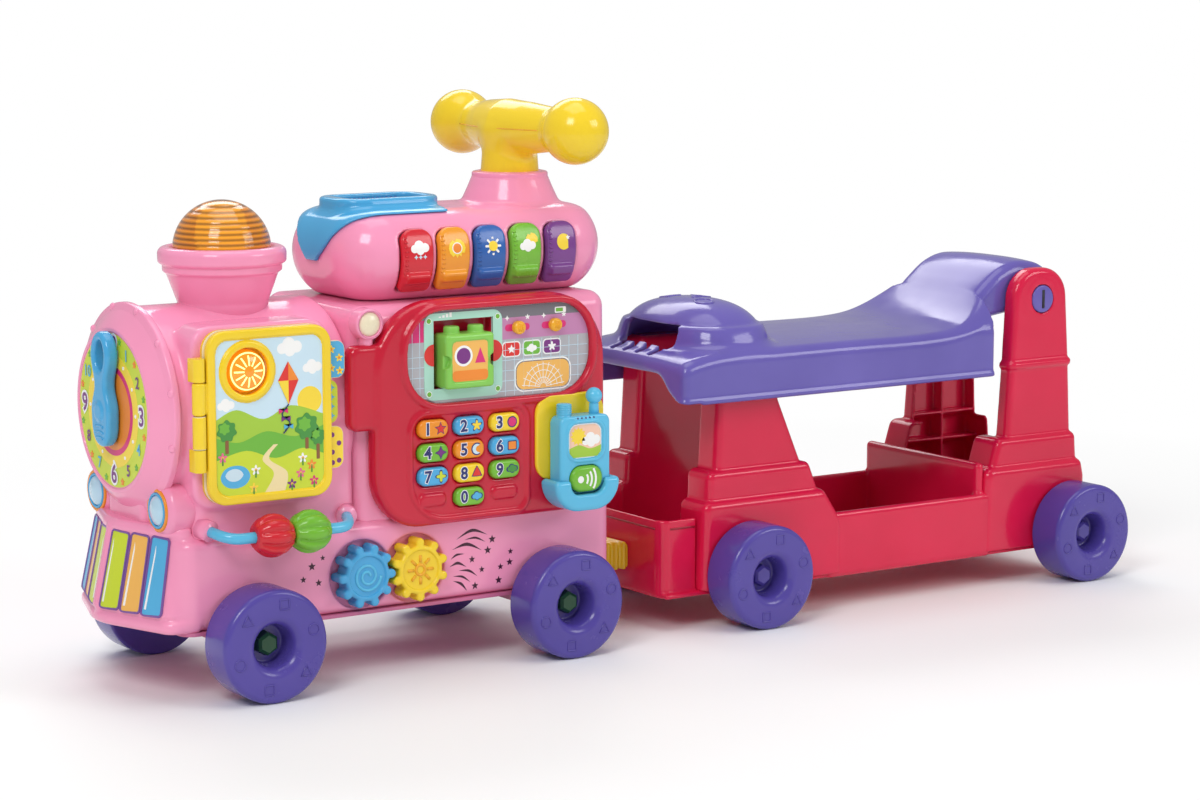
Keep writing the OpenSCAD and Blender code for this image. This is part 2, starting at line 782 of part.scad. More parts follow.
// Gears with round teeth
module gear(x, phase) {
    placed() difference() {
        union() {
            round_y(gear_root, x, [gear_face, gear_floor - 0.4], gear_z);
            for (i = [0:gear_teeth - 1]) let (a = phase + i * 360 / gear_teeth)
                round_y(tooth_r, x + tooth_at * cos(a), [gear_face + 2, gear_floor - 0.4],
                    gear_z + tooth_at * sin(a));
        }
        round_y(gear_pin_r + turn_fit, x, [gear_face - 1, gear_floor], gear_z);
    }
}

// Red phone panel
module panel_outline(inset, y) {
    prism_y([
        [panel_x[0] + inset, panel_z[0] + inset, 44], [panel_x[1] - inset, panel_z[0] + inset, 40],
        [panel_x[1] - inset, panel_z[1] - inset, 58], [panel_x[0] + inset, panel_z[1] - inset, 58]
    ], y);
}
module shoulder(inset, y) {
    prism_y(rect([shoulder_x + inset, panel_x[0] + 21], [205 + inset, 275 - inset], 6), y);
}
module screen_outline(by, y) {
    prism_y(rect(grow(screen_x, by), grow(screen_z, by), 33 + by), y);
}
module key_hole(i, by, y) {
    column = i == 0 ? 1 : (i - 1) % 3;
    row = i == 0 ? 3 : floor((i - 1) / 3);
    prism_y(rect(about(key_x0 + column * key_dx, key_w + by * 2), about(key_z0 - row * key_dz, key_h + by * 2),
        key_h * 0.45), y);
}
board_x = [143, 250];
board_z = [132, 220];
board_y = -85;
module board_posts() {
    for (x = grow(board_x, -5), z = grow(board_z, -2.5)) round_y(2.4, x, [panel_face + 1, board_y], z);
}
module slider_slot(x, by, y) {
    box(about(x, 4 + slider_travel * 2 + by * 2), y, about(slider_z, 3.6 + by * 2));
}
module phone_panel() {
    floor_y = [screen_floor, screen_floor + wall];
    color("crimson") placed() difference() {
        union() {
            difference() {
                union() {
                    panel_outline(0, [panel_face, panel_back]);
                    shoulder(0, [panel_face + 2, panel_back]);
                }
                panel_outline(wall, [panel_face + panel_skin, panel_back + 1]);
                shoulder(wall, [panel_face + panel_skin + 2, panel_back + 1]);
            }
            screen_outline(wall, [panel_face + 1, floor_y[1]]);
            box(grow(bay_x, wall), [floor_y[0] + 1, bay_floor + wall], grow(bay_z, wall));
            board_posts();
        }
        screen_outline(0, [panel_face - 1, screen_floor]);
        box(bay_x, [panel_face - 1, bay_floor], bay_z);
        for (i = [0:9]) key_hole(i, key_fit, [panel_face - 1, panel_face + panel_skin + 1]);
        for (x = slider_x) slider_slot(x, key_fit, grow(floor_y, 1));
        box(panel_x, [-base_half - seat_fit, panel_back + 1], [panel_z[0] - 1, base_top + seat_fit]);
        box([shoulder_x - 1, cab_front], [-boiler_r - seat_fit, panel_back + 1], grow(panel_z, 1));
    }
}
module screen_plate() {
    color("lavender") placed() difference() {
        screen_outline(-0.2, [screen_floor - screen_t, screen_floor]);
        box(bay_x, [panel_face - 1, screen_floor + 1], bay_z);
        for (x = bay_x) round_y(9, x, [panel_face - 1, screen_floor + 1], (bay_z[0] + bay_z[1]) / 2);
        for (x = slider_x) slider_slot(x, key_fit, [panel_face - 1, screen_floor + 1]);
    }
}
module slider_knob(x) {
    top = screen_floor - screen_t - 0.2;
    foot = screen_floor + wall + 0.2;
    color("gold") placed() {
        round_y(5.4, x, [top - 5.6, top], slider_z);
        box(about(x, 4), [top - 0.5, foot + 0.5], about(slider_z, 3.6));
        box(about(x, 7), [foot, foot + 1.5], about(slider_z, 8));
    }
}
module circuit_board() {
    color("seagreen") placed() box(board_x, [board_y, board_y + 1.6], board_z);
}
module number_key(i) {
    key_colours = ["limegreen", "orange", "deepskyblue", "gold", "limegreen", "orange", "deepskyblue",
        "deepskyblue", "gold", "limegreen"];
    back = panel_face + panel_skin + 0.3;
    color(key_colours[i]) placed() {
        key_hole(i, 0, [key_out, back + 0.5]);
        key_hole(i, key_flange, [back, back + 1.8]);
    }
}
module building_block() {
    z = [bay_z[0] + 0.3, bay_z[0] + 0.3 + block_h];
    color("limegreen") placed() {
        prism_y(rect(about(block_x, block_w), z, 2), [block_out, bay_floor - 0.3]);
        for (side = [-1, 1]) round_z(6.5, block_x + side * block_w / 4, -95, [z[1] - 1, z[1] + 6]);
    }
}
module cradle_back() {
    color("yellow") placed() prism_y(rect([259, 327], [pocket_top + 0.3, 222], 16), [-100, panel_face]);
}
function slanted(back, face, z0, z1) = [
    [back, z0, 0], [face + slant[0], z0, 2], [face, z0 + slant[1], 2], [face, z1, 3], [back, z1, 3]
];
module handset_body(by) {
    x = about(handset_x, handset_w + by * 2);
    intersection() {
        prism_x(slanted(handset_back + by, handset_face - by, handset_z[0] - by, handset_z[1] + by * 60), x);
        prism_y([[x[0], handset_z[0] - by, 13], [x[1], handset_z[0] - by, 13], [x[1], handset_z[1] + by * 60, 8],
            [x[0], handset_z[1] + by * 60, 8]], [-140, -90]);
    }
}
module call_outline(by, y) {
    prism_y(rect(about(handset_x, 26 + by * 2), about(call_z, 17 + by * 2), 8), y);
}
module handset() {
    color("deepskyblue") placed() difference() {
        union() {
            handset_body(0);
            round_z(4.5, handset_x + 14, -110, [handset_z[1] - 4, handset_z[1] + 12]);
            translate([handset_x + 14, -110, handset_z[1] + 14]) sphere(7);
            round_z(6.5, handset_x - 16, -110, [handset_z[1] - 4, handset_z[1] + 9]);
        }
        call_outline(key_fit, [-130, handset_face + 6]);
    }
}
module handset_button() {
    color("limegreen") placed() call_outline(0, [handset_face - 3, handset_face + 4]);
}
module cradle_pocket() {
    x = about(handset_x, handset_w + 14);
    color("skyblue") placed() difference() {
        prism_y([[x[0], handset_z[0] - 12, 24], [x[1], handset_z[0] - 12, 24], [x[1], pocket_top, 3],
            [x[0], pocket_top, 3]], [handset_face - 5, panel_face]);
        handset_body(0.4);
        box(about(handset_x, 34), [handset_face - 6, handset_face + 6], [handset_z[0] + 3, pocket_top + 1]);
    }
}

// Hitch and wagon
module hitch_bar() {
    color("gold") placed() difference() {
        union() {
            round_z(18, hitch_x, 0, hitch_z);
            prism_z([[hitch_x, -18, 0], [tub_front, -26, 0], [tub_front, 26, 0], [hitch_x, 18, 0]], hitch_z);
        }
        round_z(hitch_pin_r + turn_fit, hitch_x, 0, grow(hitch_z, 1));
    }
}
tunnel_half = 9;
leg_face = min(leg_half, wheel_in - wheel_gap);
module wagon_tub() {
    color("crimson") placed() difference() {
        union() {
            difference() {
                prism_z(rect([tub_front, front_leg_x[0] + 20], grow([0, 0], tray_half), 10), [tub_bottom, tray_top]);
                prism_z(rect([tub_front + leg_wall, front_leg_x[0] + 40], grow([0, 0], tray_half - leg_wall), 8),
                    [tub_bottom + floor_t, tray_top + 1]);
                box([front_leg_x[0] - 0.2, front_leg_x[1]], [-100, 100], [tub_bottom + floor_t, tray_top + 1]);
            }
            box([front_leg_x[0] - 20, tub_tail], grow([0, 0], leg_half - leg_wall - 0.3),
                [tub_bottom, tub_bottom + floor_t]);
            both_sides() box([front_leg_x[1] + 0.3, rear_leg_x[0] - 0.3], [tub_half - leg_wall, tub_half],
                [tub_bottom, tub_top]);
            box([rear_leg_x[0] - leg_wall - 0.3, rear_leg_x[0] - 0.3], grow([0, 0], tub_half - 1),
                [tub_bottom, tray_top + 22]);
            box([tub_tail - leg_wall, tub_tail], grow([0, 0], leg_in - 0.3), [tub_bottom, tray_top]);
            for (x = [wagon_x, wagon_rear]) box(about(x, tunnel_half * 2), grow([0, 0], leg_face - leg_wall - 0.3),
                [tub_bottom, wheel_r + 10]);
        }
        for (x = [wagon_x, wagon_rear]) round_y(axle_r + turn_fit, x, [-100, 100], wheel_r);
        wheel_wells([wagon_x, wagon_rear]);
    }
}
function front_leg_outline(inset) = let (x = front_leg_x, w = inset) [
    [x[0] + w, tub_bottom - 1, 0], [x[1] - w, tub_bottom - 1, 0], [x[1] - 2 - w, 84 - w, 14],
    [x[1] - 28 - w, tier_z[0] - w, 16], [x[1] - 30 - w, tier_z[0] + 4 - w, 2], [x[1] - 45 - w, tier_z[1] - w, 12],
    [x[0] + 80 - w, 200, 20], [x[0] + 74 - w, seat_z - seat_wall - 0.3 - w, 4],
    [x[0] + 18 + w, seat_z - seat_wall - 0.3 - w, 4], [x[0] + 13 + w, tier_z[1] - w, 8],
    [x[0] + 4 + w, tier_z[0] + 2 - w, 8]
];
function rear_post_outline(inset) = let (x = rear_leg_x, w = inset) [
    [x[0] + w, tub_bottom - 1, 0], [x[1] - w, tub_bottom - 1, 0], [x[1] - w, 100 - w, 10],
    [x[1] - 6 - w, tier_z[0] - w, 6], [x[1] - 11 - w, tier_z[1] - w, 8], [x[1] - 15 - w, post_ring_z, 0],
    [seat_pin_x + 28 - w, seat_pin_z + 29 - w, 28 - w], [seat_pin_x - 32 + w, seat_pin_z + 29 - w, 28 - w],
    [x[0] + 39 + w, post_ring_z, 0], [x[0] + 34 + w, tier_z[1] + 6 - w, 3], [x[0] + 20 + w, tier_z[1] - 2 - w, 7],
    [x[0] + 8 + w, tier_z[0] - w, 8]
];
tier_z = [114, 140];
tier_step = 4;
tier_soft = 12;
leg_draft = 2;
leg_roof = 320;
function leg_side(inset, y_in) = let (y = leg_half - inset, s = tier_step, z = tier_z - [inset, inset]) [
    [y_in, tub_bottom - 1, 0], [y, tub_bottom - 1, 0],
    [y, z[0] - tier_soft, 14], [y - s, z[0], 0], [y - s, z[1] - tier_soft, 14], [y - 2 * s, z[1], 0],
    [y - 2 * s - leg_draft, leg_roof, 0], [y_in, leg_roof, 0]
];
module leg_solid(outline, x, inset, y_in) {
    intersection() {
        prism_y(outline, [y_in, leg_half - inset]);
        prism_x(leg_side(inset, y_in), grow(x, 1));
    }
}
module leg_shell(outer, inner, x, y_in, hollow_in, axle_x) {
    difference() {
        leg_solid(outer, x, 0, y_in);
        difference() {
            leg_solid(inner, x, leg_wall, hollow_in);
            round_y(wheel_r + wheel_gap + leg_wall, axle_x,
                [wheel_in - wheel_gap - leg_wall, leg_half + 1], wheel_r);
        }
    }
}
module leg_ribs(outline, x, y_in, rib_z) {
    intersection() {
        leg_solid(outline, x, 1, y_in);
        for (z = rib_z) box(x, [y_in, leg_half], [z, z + rib_t]);
    }
}
rib_t = 2.4;
module tub_clearance(x) {
    box(grow(x, 5), [0, leg_half - leg_wall], [0, tub_bottom + floor_t + 0.2]);
}
module front_legs() {
    color("crimson") placed() both_sides() difference() {
        leg_shell(front_leg_outline(0), front_leg_outline(leg_wall), front_leg_x,
            leg_in, leg_in + leg_wall, wagon_x);
        tub_clearance(front_leg_x);
        box(about(wagon_x, tunnel_half * 2 + 1), [0, leg_face - leg_wall], [0, wheel_r + 10.5]);
        round_y(axle_r + 2, wagon_x, [0, 100], wheel_r);
        wheel_wells([wagon_x]);
    }
}
module rear_posts() {
    color("crimson") placed() both_sides() difference() {
        union() {
            difference() {
                leg_shell(rear_post_outline(0), rear_post_outline(leg_wall), rear_leg_x,
                    leg_in, leg_in - 1, wagon_rear);
                box([rear_leg_x[0] - 1, rear_leg_x[1] + 1], [leg_in - 1, post_in], [150, 400]);
            }
            round_y(seat_pin_r + 6, seat_pin_x, [post_in, post_out], seat_pin_z);
            leg_ribs(rear_post_outline(1), rear_leg_x, post_in + 1, concat(tier_z, [post_ring_z]));
        }
        tub_clearance(rear_leg_x);
        box(about(wagon_rear, tunnel_half * 2 + 1), [0, leg_face - leg_wall], [0, wheel_r + 10.5]);
        box([wagon_rear, tub_tail + 0.2], [0, leg_in + 0.2], [0, 130]);
        round_y(axle_r + 2, wagon_rear, [0, 100], wheel_r);
        wheel_wells([wagon_rear]);
        round_y(seat_pin_r + turn_fit, seat_pin_x, [0, 100], seat_pin_z);
    }
}

// Seat: a long cover with a hood and grip in front and a raised back that swings on two pins
function seat_outline(inset) = let (w = inset) [
    [seat_front + 3 + w, seat_skirt - (w > 0 ? 5 : 0), 0], [seat_tail - w, seat_skirt - (w > 0 ? 5 : 0), 0],
    [seat_tail - w, seat_z - w, 10], [seat_front + 34, seat_z - w, 30], [seat_front + w, seat_z - 9 - w, 8]
];
function back_outline(inset) = let (w = inset, z = seat_pin_z) [
    [seat_tail - 70, seat_z - 16 - (w > 0 ? 30 : 0), 0], [seat_pin_x + 24 - w, seat_z - 16 - (w > 0 ? 30 : 0), 0],
    [seat_pin_x + 27 - w, z + 24 - w, 22], [seat_pin_x - 16, z + 38 - w, 24], [seat_tail - 6, z + 4 - w, 40],
    [seat_tail - 70, seat_z - w, 0]
];
module seat_hood(inset) {
    intersection() {
        round_y(46 - inset, hood_x, grow([0, 0], 74 - inset), seat_z - 10);
        round_x(84 - inset, [hood_x - 60, hood_x + 60], 0, seat_z - 48);
        box([hood_x - 60, hood_x + 60], [-80, 80], [seat_z - 20, seat_z + 60]);
    }
}
module seat() {
    back_half = post_in - 1;
    grip_slots = 4;
    grip_half = 58;
    color("mediumpurple") placed() {
        difference() {
            union() {
                prism_y(seat_outline(0), grow([0, 0], seat_half));
                prism_y(back_outline(0), grow([0, 0], back_half));
                seat_hood(0);
            }
            prism_y(seat_outline(seat_wall), grow([0, 0], seat_half - seat_wall));
            prism_y(back_outline(seat_wall), grow([0, 0], back_half - seat_wall));
            seat_hood(seat_wall);
            box([seat_front + 26, seat_front + 56], grow([0, 0], grip_half - 18), [seat_z - 12, seat_z + 14]);
            for (i = [1:grip_slots]) box([seat_front - 1, seat_front + 9],
                about(-48 + i * 19.2, 6), [seat_z - 16, seat_z + 1]);
            box([seat_front - 1, seat_front + 18], grow([0, 0], grip_half), [seat_skirt - 6, seat_z - 24]);
        }
        both_sides() round_y(seat_pin_r, seat_pin_x, [back_half - seat_wall, post_out + 1], seat_pin_z);
    }
}

engine_base();
base_plate();
battery_door();
boiler_shell();
chimney();
dome_lens();
cab_shell();
console_shell();
block_chute();
push_handle();
clock_hand();
book_back();
book_page();
book_cover();
light_button();
bead_rod();
color("red") bead(bead_x[0]);  // bead_red
color("limegreen") bead(bead_x[1]);  // bead_green
color("deepskyblue") gear(gear_x[0], 0);  // gear_blue
color("gold") gear(gear_x[1], 180 / gear_teeth);  // gear_yellow
phone_panel();
screen_plate();
slider_knob(slider_x[0]);  // volume_slider
slider_knob(slider_x[1]);  // mode_slider
building_block();
cradle_back();
cradle_pocket();
handset();
handset_button();
for (i = [0:9]) number_key(i);
for (i = [1:5]) tune_key(i);
speaker();
circuit_board();
body_screws();
color("mediumpurple") wheel_pair(0);  // engine_front_wheels
color("silver") axle(0);  // engine_front_axle
color("mediumpurple") wheel_pair(engine_wheelbase);  // engine_rear_wheels
color("silver") axle(engine_wheelbase);  // engine_rear_axle
hitch_bar();
wagon_tub();
front_legs();
rear_posts();
seat();
color("mediumpurple") wheel_pair(wagon_x);  // wagon_front_wheels
color("silver") axle(wagon_x);  // wagon_front_axle
color("mediumpurple") wheel_pair(wagon_rear);  // wagon_rear_wheels
color("silver") axle(wagon_rear);  // wagon_rear_axle
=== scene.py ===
"""Looks of a ride-on train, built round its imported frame.

Lengths are millimetres from the engine's front axle (X towards the tail, -Y the activity side, Z up),
and become metres in the shared frame when a mesh is made.
"""
import functools
import math
from math import cos, pi, sin

import bmesh
import bpy
import numpy as np
import openvdb
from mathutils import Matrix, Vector


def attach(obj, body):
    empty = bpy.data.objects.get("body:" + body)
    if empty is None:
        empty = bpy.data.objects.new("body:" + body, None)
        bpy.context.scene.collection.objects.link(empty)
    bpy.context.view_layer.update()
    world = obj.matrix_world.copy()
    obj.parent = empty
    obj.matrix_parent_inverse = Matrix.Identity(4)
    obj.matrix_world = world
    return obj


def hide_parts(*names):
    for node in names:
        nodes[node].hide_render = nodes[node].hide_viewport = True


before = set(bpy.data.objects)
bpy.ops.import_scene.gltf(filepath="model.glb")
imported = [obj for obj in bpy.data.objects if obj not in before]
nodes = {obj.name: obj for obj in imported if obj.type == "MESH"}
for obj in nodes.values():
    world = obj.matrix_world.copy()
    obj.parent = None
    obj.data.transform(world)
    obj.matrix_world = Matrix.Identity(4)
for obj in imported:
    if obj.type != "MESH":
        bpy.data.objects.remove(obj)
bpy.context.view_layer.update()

MM = 0.001
AXLE_X = -408.0
TURN = 2 * pi


# Meshes

def to_frame(points):
    """Millimetres from the front axle to metres in the shared frame."""
    return (np.asarray(points, float) + (AXLE_X, 0, 0)) * MM


def add_object(name, data):
    obj = bpy.data.objects.new(name, data)
    bpy.context.scene.collection.objects.link(obj)
    return obj


def add_mesh(name, points, faces, material, body, replaces=(), smooth=True):
    """A piece that rides on a body, from points in millimetres and faces."""
    mesh = bpy.data.meshes.new(name)
    mesh.from_pydata(to_frame(points), [], faces)
    mesh.validate()
    mesh.polygons.foreach_set("use_smooth", [smooth] * len(mesh.polygons))
    mesh.materials.append(material)
    obj = add_object(name, mesh)
    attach(obj, body)
    if replaces:
        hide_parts(*replaces)


class Merge:
    """Collects small meshes that become one piece."""

    def __init__(self):
        self.points, self.faces = [], []

    def add(self, points, faces):
        start = len(self.points)
        self.points += [tuple(p) for p in points]
        self.faces += [tuple(int(i) + start for i in f) for f in faces]

    def piece(self, name, material, body, replaces=(), smooth=True):
        add_mesh(name, self.points, self.faces, material, body, replaces, smooth)


def ring_faces(count, n, closed=False):
    """Quads between rings of n points."""
    faces = []
    for i in range(count if closed else count - 1):
        a, b = i * n, (i + 1) % count * n
        faces += [(a + j, a + (j + 1) % n, b + (j + 1) % n, b + j) for j in range(n)]
    return faces


def lathe(profile, axis, centre, n=96, ripple=None):
    """Surface of revolution of (radius, height) points; ripple scales the radius by angle and height."""
    u, v, along = {"x": (1, 2, 0), "y": (2, 0, 1), "z": (0, 1, 2)}[axis]
    angle = np.arange(n) * TURN / n
    rings = np.empty((len(profile), n, 3))
    for ring, (r, w) in zip(rings, profile):
        radius = np.full(n, max(r, 1e-3))
        if ripple:
            radius = radius * ripple(angle, w)
        ring[:, u], ring[:, v], ring[:, along] = radius * np.cos(angle), radius * np.sin(angle), w
    return rings.reshape(-1, 3) + centre, ring_faces(len(profile), n)


def tube(path, radius, n=10, closed=False):
    """Round tube along a path, with flat ends unless the path is closed."""
    path = np.asarray(path, float)
    count = len(path)
    ahead = np.roll(path, -1, 0) - np.roll(path, 1, 0)
    if not closed:
        ahead[0], ahead[-1] = path[1] - path[0], path[-1] - path[-2]
    ahead /= np.linalg.norm(ahead, axis=1)[:, None]
    side = np.cross(ahead[0], (0.31, 0.52, 0.79))
    points = []
    angle = np.arange(n) * TURN / n
    for p, t in zip(path, ahead):
        side = side - t * side.dot(t)
        side /= np.linalg.norm(side)
        up = np.cross(t, side)
        points.append(p + radius * (np.cos(angle)[:, None] * side + np.sin(angle)[:, None] * up))
    faces = ring_faces(count, n, closed)
    if not closed:
        faces += [tuple(range(n))[::-1], tuple((count - 1) * n + j for j in range(n))]
    return np.concatenate(points), faces


def ridges(name, paths, radius, material, body, n=6, closed=False):
    """Thin raised lines, joined to one piece."""
    lines = Merge()
    for path in paths:
        lines.add(*tube(path, radius, n, closed))
    lines.piece(name, material, body)


# Outlines

def spot(centre, r, a):
    """The point at a distance and an angle from a centre."""
    return centre[0] + r * cos(a), centre[1] + r * sin(a)


def side_spot(centre, r, a, y):
    """The same on a face that looks along -Y."""
    x, z = spot(centre, r, a)
    return x, y, z


def rounded(corners, n=8):
    """Outline whose corners (x, y, r) are rounded with radius r."""
    out = []
    m = len(corners)
    for i, (x, y, r) in enumerate(corners):
        q = np.array((x, y), float)
        if r <= 0:
            out.append(tuple(q))
            continue
        a = np.array(corners[i - 1][:2], float) - q
        b = np.array(corners[(i + 1) % m][:2], float) - q
        a, b = a / np.linalg.norm(a), b / np.linalg.norm(b)
        half = math.acos(max(-1, min(1, a.dot(b)))) / 2
        mid = q + (a + b) / np.linalg.norm(a + b) * r / sin(half)
        u, v = q + a * r / math.tan(half) - mid, q + b * r / math.tan(half) - mid
        start = math.atan2(u[1], u[0])
        turn = (math.atan2(v[1], v[0]) - start + 3 * pi) % TURN - pi
        out += [spot(mid, r, start + turn * k / n) for k in range(n + 1)]
    return out


def rect(x, y, r, n=8):
    return rounded([(x[0], y[0], r), (x[1], y[0], r), (x[1], y[1], r), (x[0], y[1], r)], n)


def polar(radius, n=48, centre=(0, 0), turn=0.0):
    """Outline whose radius is a function of the angle."""
    return [spot(centre, radius(i * TURN / n), i * TURN / n + turn) for i in range(n)]


def circle(r, centre=(0, 0), n=32):
    return polar(lambda a: r, n, centre)


def star(r, centre=(0, 0), points=5, inner=0.45, turn=TURN / 4):
    return [spot(centre, r * inner if i % 2 else r, turn + i * pi / points) for i in range(points * 2)]


def arc_band(centre, r, width, low, high, n=14):
    """Outline of a strip along a circle, angles in degrees."""
    angles = np.radians(np.linspace(low, high, n))
    return ([spot(centre, r + width / 2, a) for a in angles]
            + [spot(centre, r - width / 2, a) for a in angles[::-1]])


def flower(r, centre=(0, 0), petals=5, depth=0.28):
    return polar(lambda a: r * (1 - depth + depth * cos(petals * a)), 60, centre, TURN / 4)


def cloud(w, centre=(0, 0)):
    bumps = [(-0.32, -0.02, 0.2), (-0.05, 0.12, 0.26), (0.27, 0.02, 0.22), (0.0, -0.1, 0.22)]

    def reach(a):
        c, s = cos(a), sin(a)
        best = 0.05
        for x, y, r in bumps:
            b = x * c + y * s
            room = b * b - (x * x + y * y - r * r)
            if room > 0:
                best = max(best, b + math.sqrt(room))
        return best * w
    return polar(reach, 72, centre)


def crescent(r, centre=(0, 0)):
    outer = [spot(centre, r, a) for a in np.linspace(0.9, TURN - 0.9, 28)]
    hollow = (centre[0] + 0.42 * r, centre[1])
    return outer + [spot(hollow, 0.66 * r, a) for a in np.linspace(TURN - 1.62, 1.62, 20)]


def curve_of(points, n=6):
    """Smooth line through points."""
    out = []
    for i in range(len(points) - 1):
        p0, p1 = points[max(i - 1, 0)], points[i]
        p2, p3 = points[i + 1], points[min(i + 2, len(points) - 1)]
        for k in range(n):
            t = k / n
            out.append(tuple(0.5 * (2 * b + (c - a) * t + (2 * a - 5 * b + 4 * c - d) * t ** 2
                                    + (3 * b - a - 3 * c + d) * t ** 3)
                             for a, b, c, d in zip(p0, p1, p2, p3)))
    return out + [tuple(points[-1])]


def flow(w, points):
    """A smooth curve through (place, value) points, read at w."""
    dense = np.array(curve_of(points, 12))
    return np.interp(w, dense[:, 0], dense[:, 1]).astype(np.float32)


# Distance fields for moulded shells

class Field:
    """Regular grid on which a shell's distance is worked out."""

    def __init__(self, low, high, step):
        self.step = step
        self.low = np.array(low, float) - 3 * step
        counts = np.ceil((np.array(high) + 3 * step - self.low) / step).astype(int) + 1
        axes = [(self.low[i] + step * np.arange(counts[i])).astype(np.float32) for i in range(3)]
        self.shape = tuple(counts)
        self.x, self.y, self.z = axes[0][:, None, None], axes[1][None, :, None], axes[2][None, None, :]

    def side(self, outline):
        """Distance to an outline in X and Z, seen from the side."""
        return inside_of(self.x, self.z, outline)

    def plan(self, outline):
        """Distance to an outline in X and Y, seen from above."""
        return inside_of(self.x, self.y, outline)

    def shell(self, distance):
        """Points and outward quads of the surface where the distance is zero."""
        band = 3 * self.step
        full = np.clip(np.broadcast_to(distance, self.shape), -band, band).astype(np.float32)
        grid = openvdb.FloatGrid(band)
        grid.copyFromArray(np.ascontiguousarray(full))
        grid.transform = openvdb.createLinearTransform(voxelSize=self.step)
        points, quads = grid.convertToQuads(isovalue=0.0)
        return points + self.low, quads

    def skin(self, name, distance, material, body, replaces=()):
        add_mesh(name, *self.shell(distance), material, body, replaces)


def with_twin(points, quads):
    """A shell and its mirror image on the other side of the train."""
    twin = points * (1, -1, 1)
    return np.concatenate([points, twin]), np.concatenate([quads, quads[:, ::-1] + len(points)])


def inside_of(u, v, outline):
    """Signed distance to an outline, negative inside."""
    u, v = np.broadcast_arrays(u, v)
    best = np.full(u.shape, 1e9, np.float32)
    inside = np.zeros(u.shape, bool)
    for i, (bx, by) in enumerate(outline):
        ax, ay = outline[i - 1]
        ex, ey = bx - ax, by - ay
        length = ex * ex + ey * ey
        if length < 1e-9:
            continue
        wx, wy = u - ax, v - ay
        t = np.clip((wx * ex + wy * ey) / length, 0, 1)
        best = np.minimum(best, (wx - ex * t) ** 2 + (wy - ey * t) ** 2)
        side = ex * wy - ey * wx
        inside ^= ((ay <= v) & (by > v) & (side > 0)) | ((ay > v) & (by <= v) & (side < 0))
    return np.where(inside, -np.sqrt(best), np.sqrt(best)).astype(np.float32)


def slab(w, low, high):
    return np.abs(w - (low + high) / 2) - (high - low) / 2


def disc(u, v, cu, cv, r):
    return np.hypot(u - cu, v - cv) - r


def ball(f, c, r):
    return np.sqrt((f.x - c[0]) ** 2 + (f.y - c[1]) ** 2 + (f.z - c[2]) ** 2) - r


def both(a, b, r=0.0):
    """What two forms share, with the edge between them rounded."""
    if r <= 0:
        return np.maximum(a, b)
    return np.minimum(-r, np.maximum(a, b)) + np.hypot(np.maximum(r + a, 0), np.maximum(r + b, 0))


def join(a, b, r=0.0):
    """Two forms together, with a fillet between them."""
    if r <= 0:
        return np.minimum(a, b)
    return np.maximum(r, np.minimum(a, b)) - np.hypot(np.maximum(r - a, 0), np.maximum(r - b, 0))


def meet(*forms):
    """What several forms share, with sharp edges."""
    return functools.reduce(np.maximum, forms)


def cut(a, b, r=0.0):
    return both(a, -b, r)


def block(f, x, y, z, r=0.0):
    """Box with every edge rounded."""
    q = [np.abs(a - (s[0] + s[1]) / 2) - (s[1] - s[0]) / 2 + r for a, s in ((f.x, x), (f.y, y), (f.z, z))]
    out = np.sqrt(sum(np.maximum(d, 0) ** 2 for d in q))
    return out + np.minimum(meet(*q), 0) - r


def plate(f, outline, low, high, r=0.0):
    """A flat form seen along Y: an outline in X and Z between two depths."""
    return both(f.side(outline), slab(f.y, low, high), r)


def peg(f, x, z, radius, low, high, r=0.0):
    """A round form along Y between two depths."""
    return both(disc(f.x, f.z, x, z, radius), slab(f.y, low, high), r)


def post(f, x, y, radius, low, high, r=0.0):
    """A round form along Z between two heights."""
    return both(disc(f.x, f.y, x, y, radius), slab(f.z, low, high), r)


def drum(f, radius, low, high, r=0.0):
    """A round form along the boiler's axis."""
    return both(disc(f.y, f.z, 0, BOILER_Z, radius), slab(f.x, low, high), r)


# Flat prints

PRINT_ROOT = -0.3


def on_side(y):
    """Prints on a face that looks along -Y: (x, z) at that y."""
    return lambda u, v, lift: (u, y - lift, v)


def on_front(x):
    """Prints on a face that looks along -X: (-y, z) at that x."""
    return lambda u, v, lift: (x - lift, -u, v)


def on_console(a, r, lift):
    """A place round the console's key row: angle in degrees above level, radius."""
    t = math.radians(a)
    return (-CONSOLE_HALF - (r + lift) * cos(t), CONSOLE_Z + (r + lift) * sin(t))


def inlay(store, outline, place, lift=0.25, finer=0):
    """A thin print with sharp edges, lifted from the surface under it."""
    area = sum(a[0] * b[1] - a[1] * b[0] for a, b in zip(outline, outline[1:] + outline[:1]))
    bm = bmesh.new()
    ring = [bm.verts.new((u, v, 0)) for u, v in (outline if area > 0 else outline[::-1])]
    bm.faces.new(ring)
    if finer:
        bmesh.ops.triangulate(bm, faces=bm.faces[:])
        bmesh.ops.subdivide_edges(bm, edges=bm.edges[:], cuts=finer, use_grid_fill=True)
    bm.verts.index_update()
    flat = [(v.co.x, v.co.y) for v in bm.verts]
    faces = [tuple(v.index for v in f.verts) for f in bm.faces]
    rim = [tuple(v.index for v in e.verts) for e in bm.edges if e.is_boundary]
    bm.free()
    count = len(flat)
    points = [place(u, v, lift) for u, v in flat] + [place(u, v, PRINT_ROOT) for u, v in flat]
    store.add(points, faces + [(a, b, b + count, a + count) for a, b in rim])


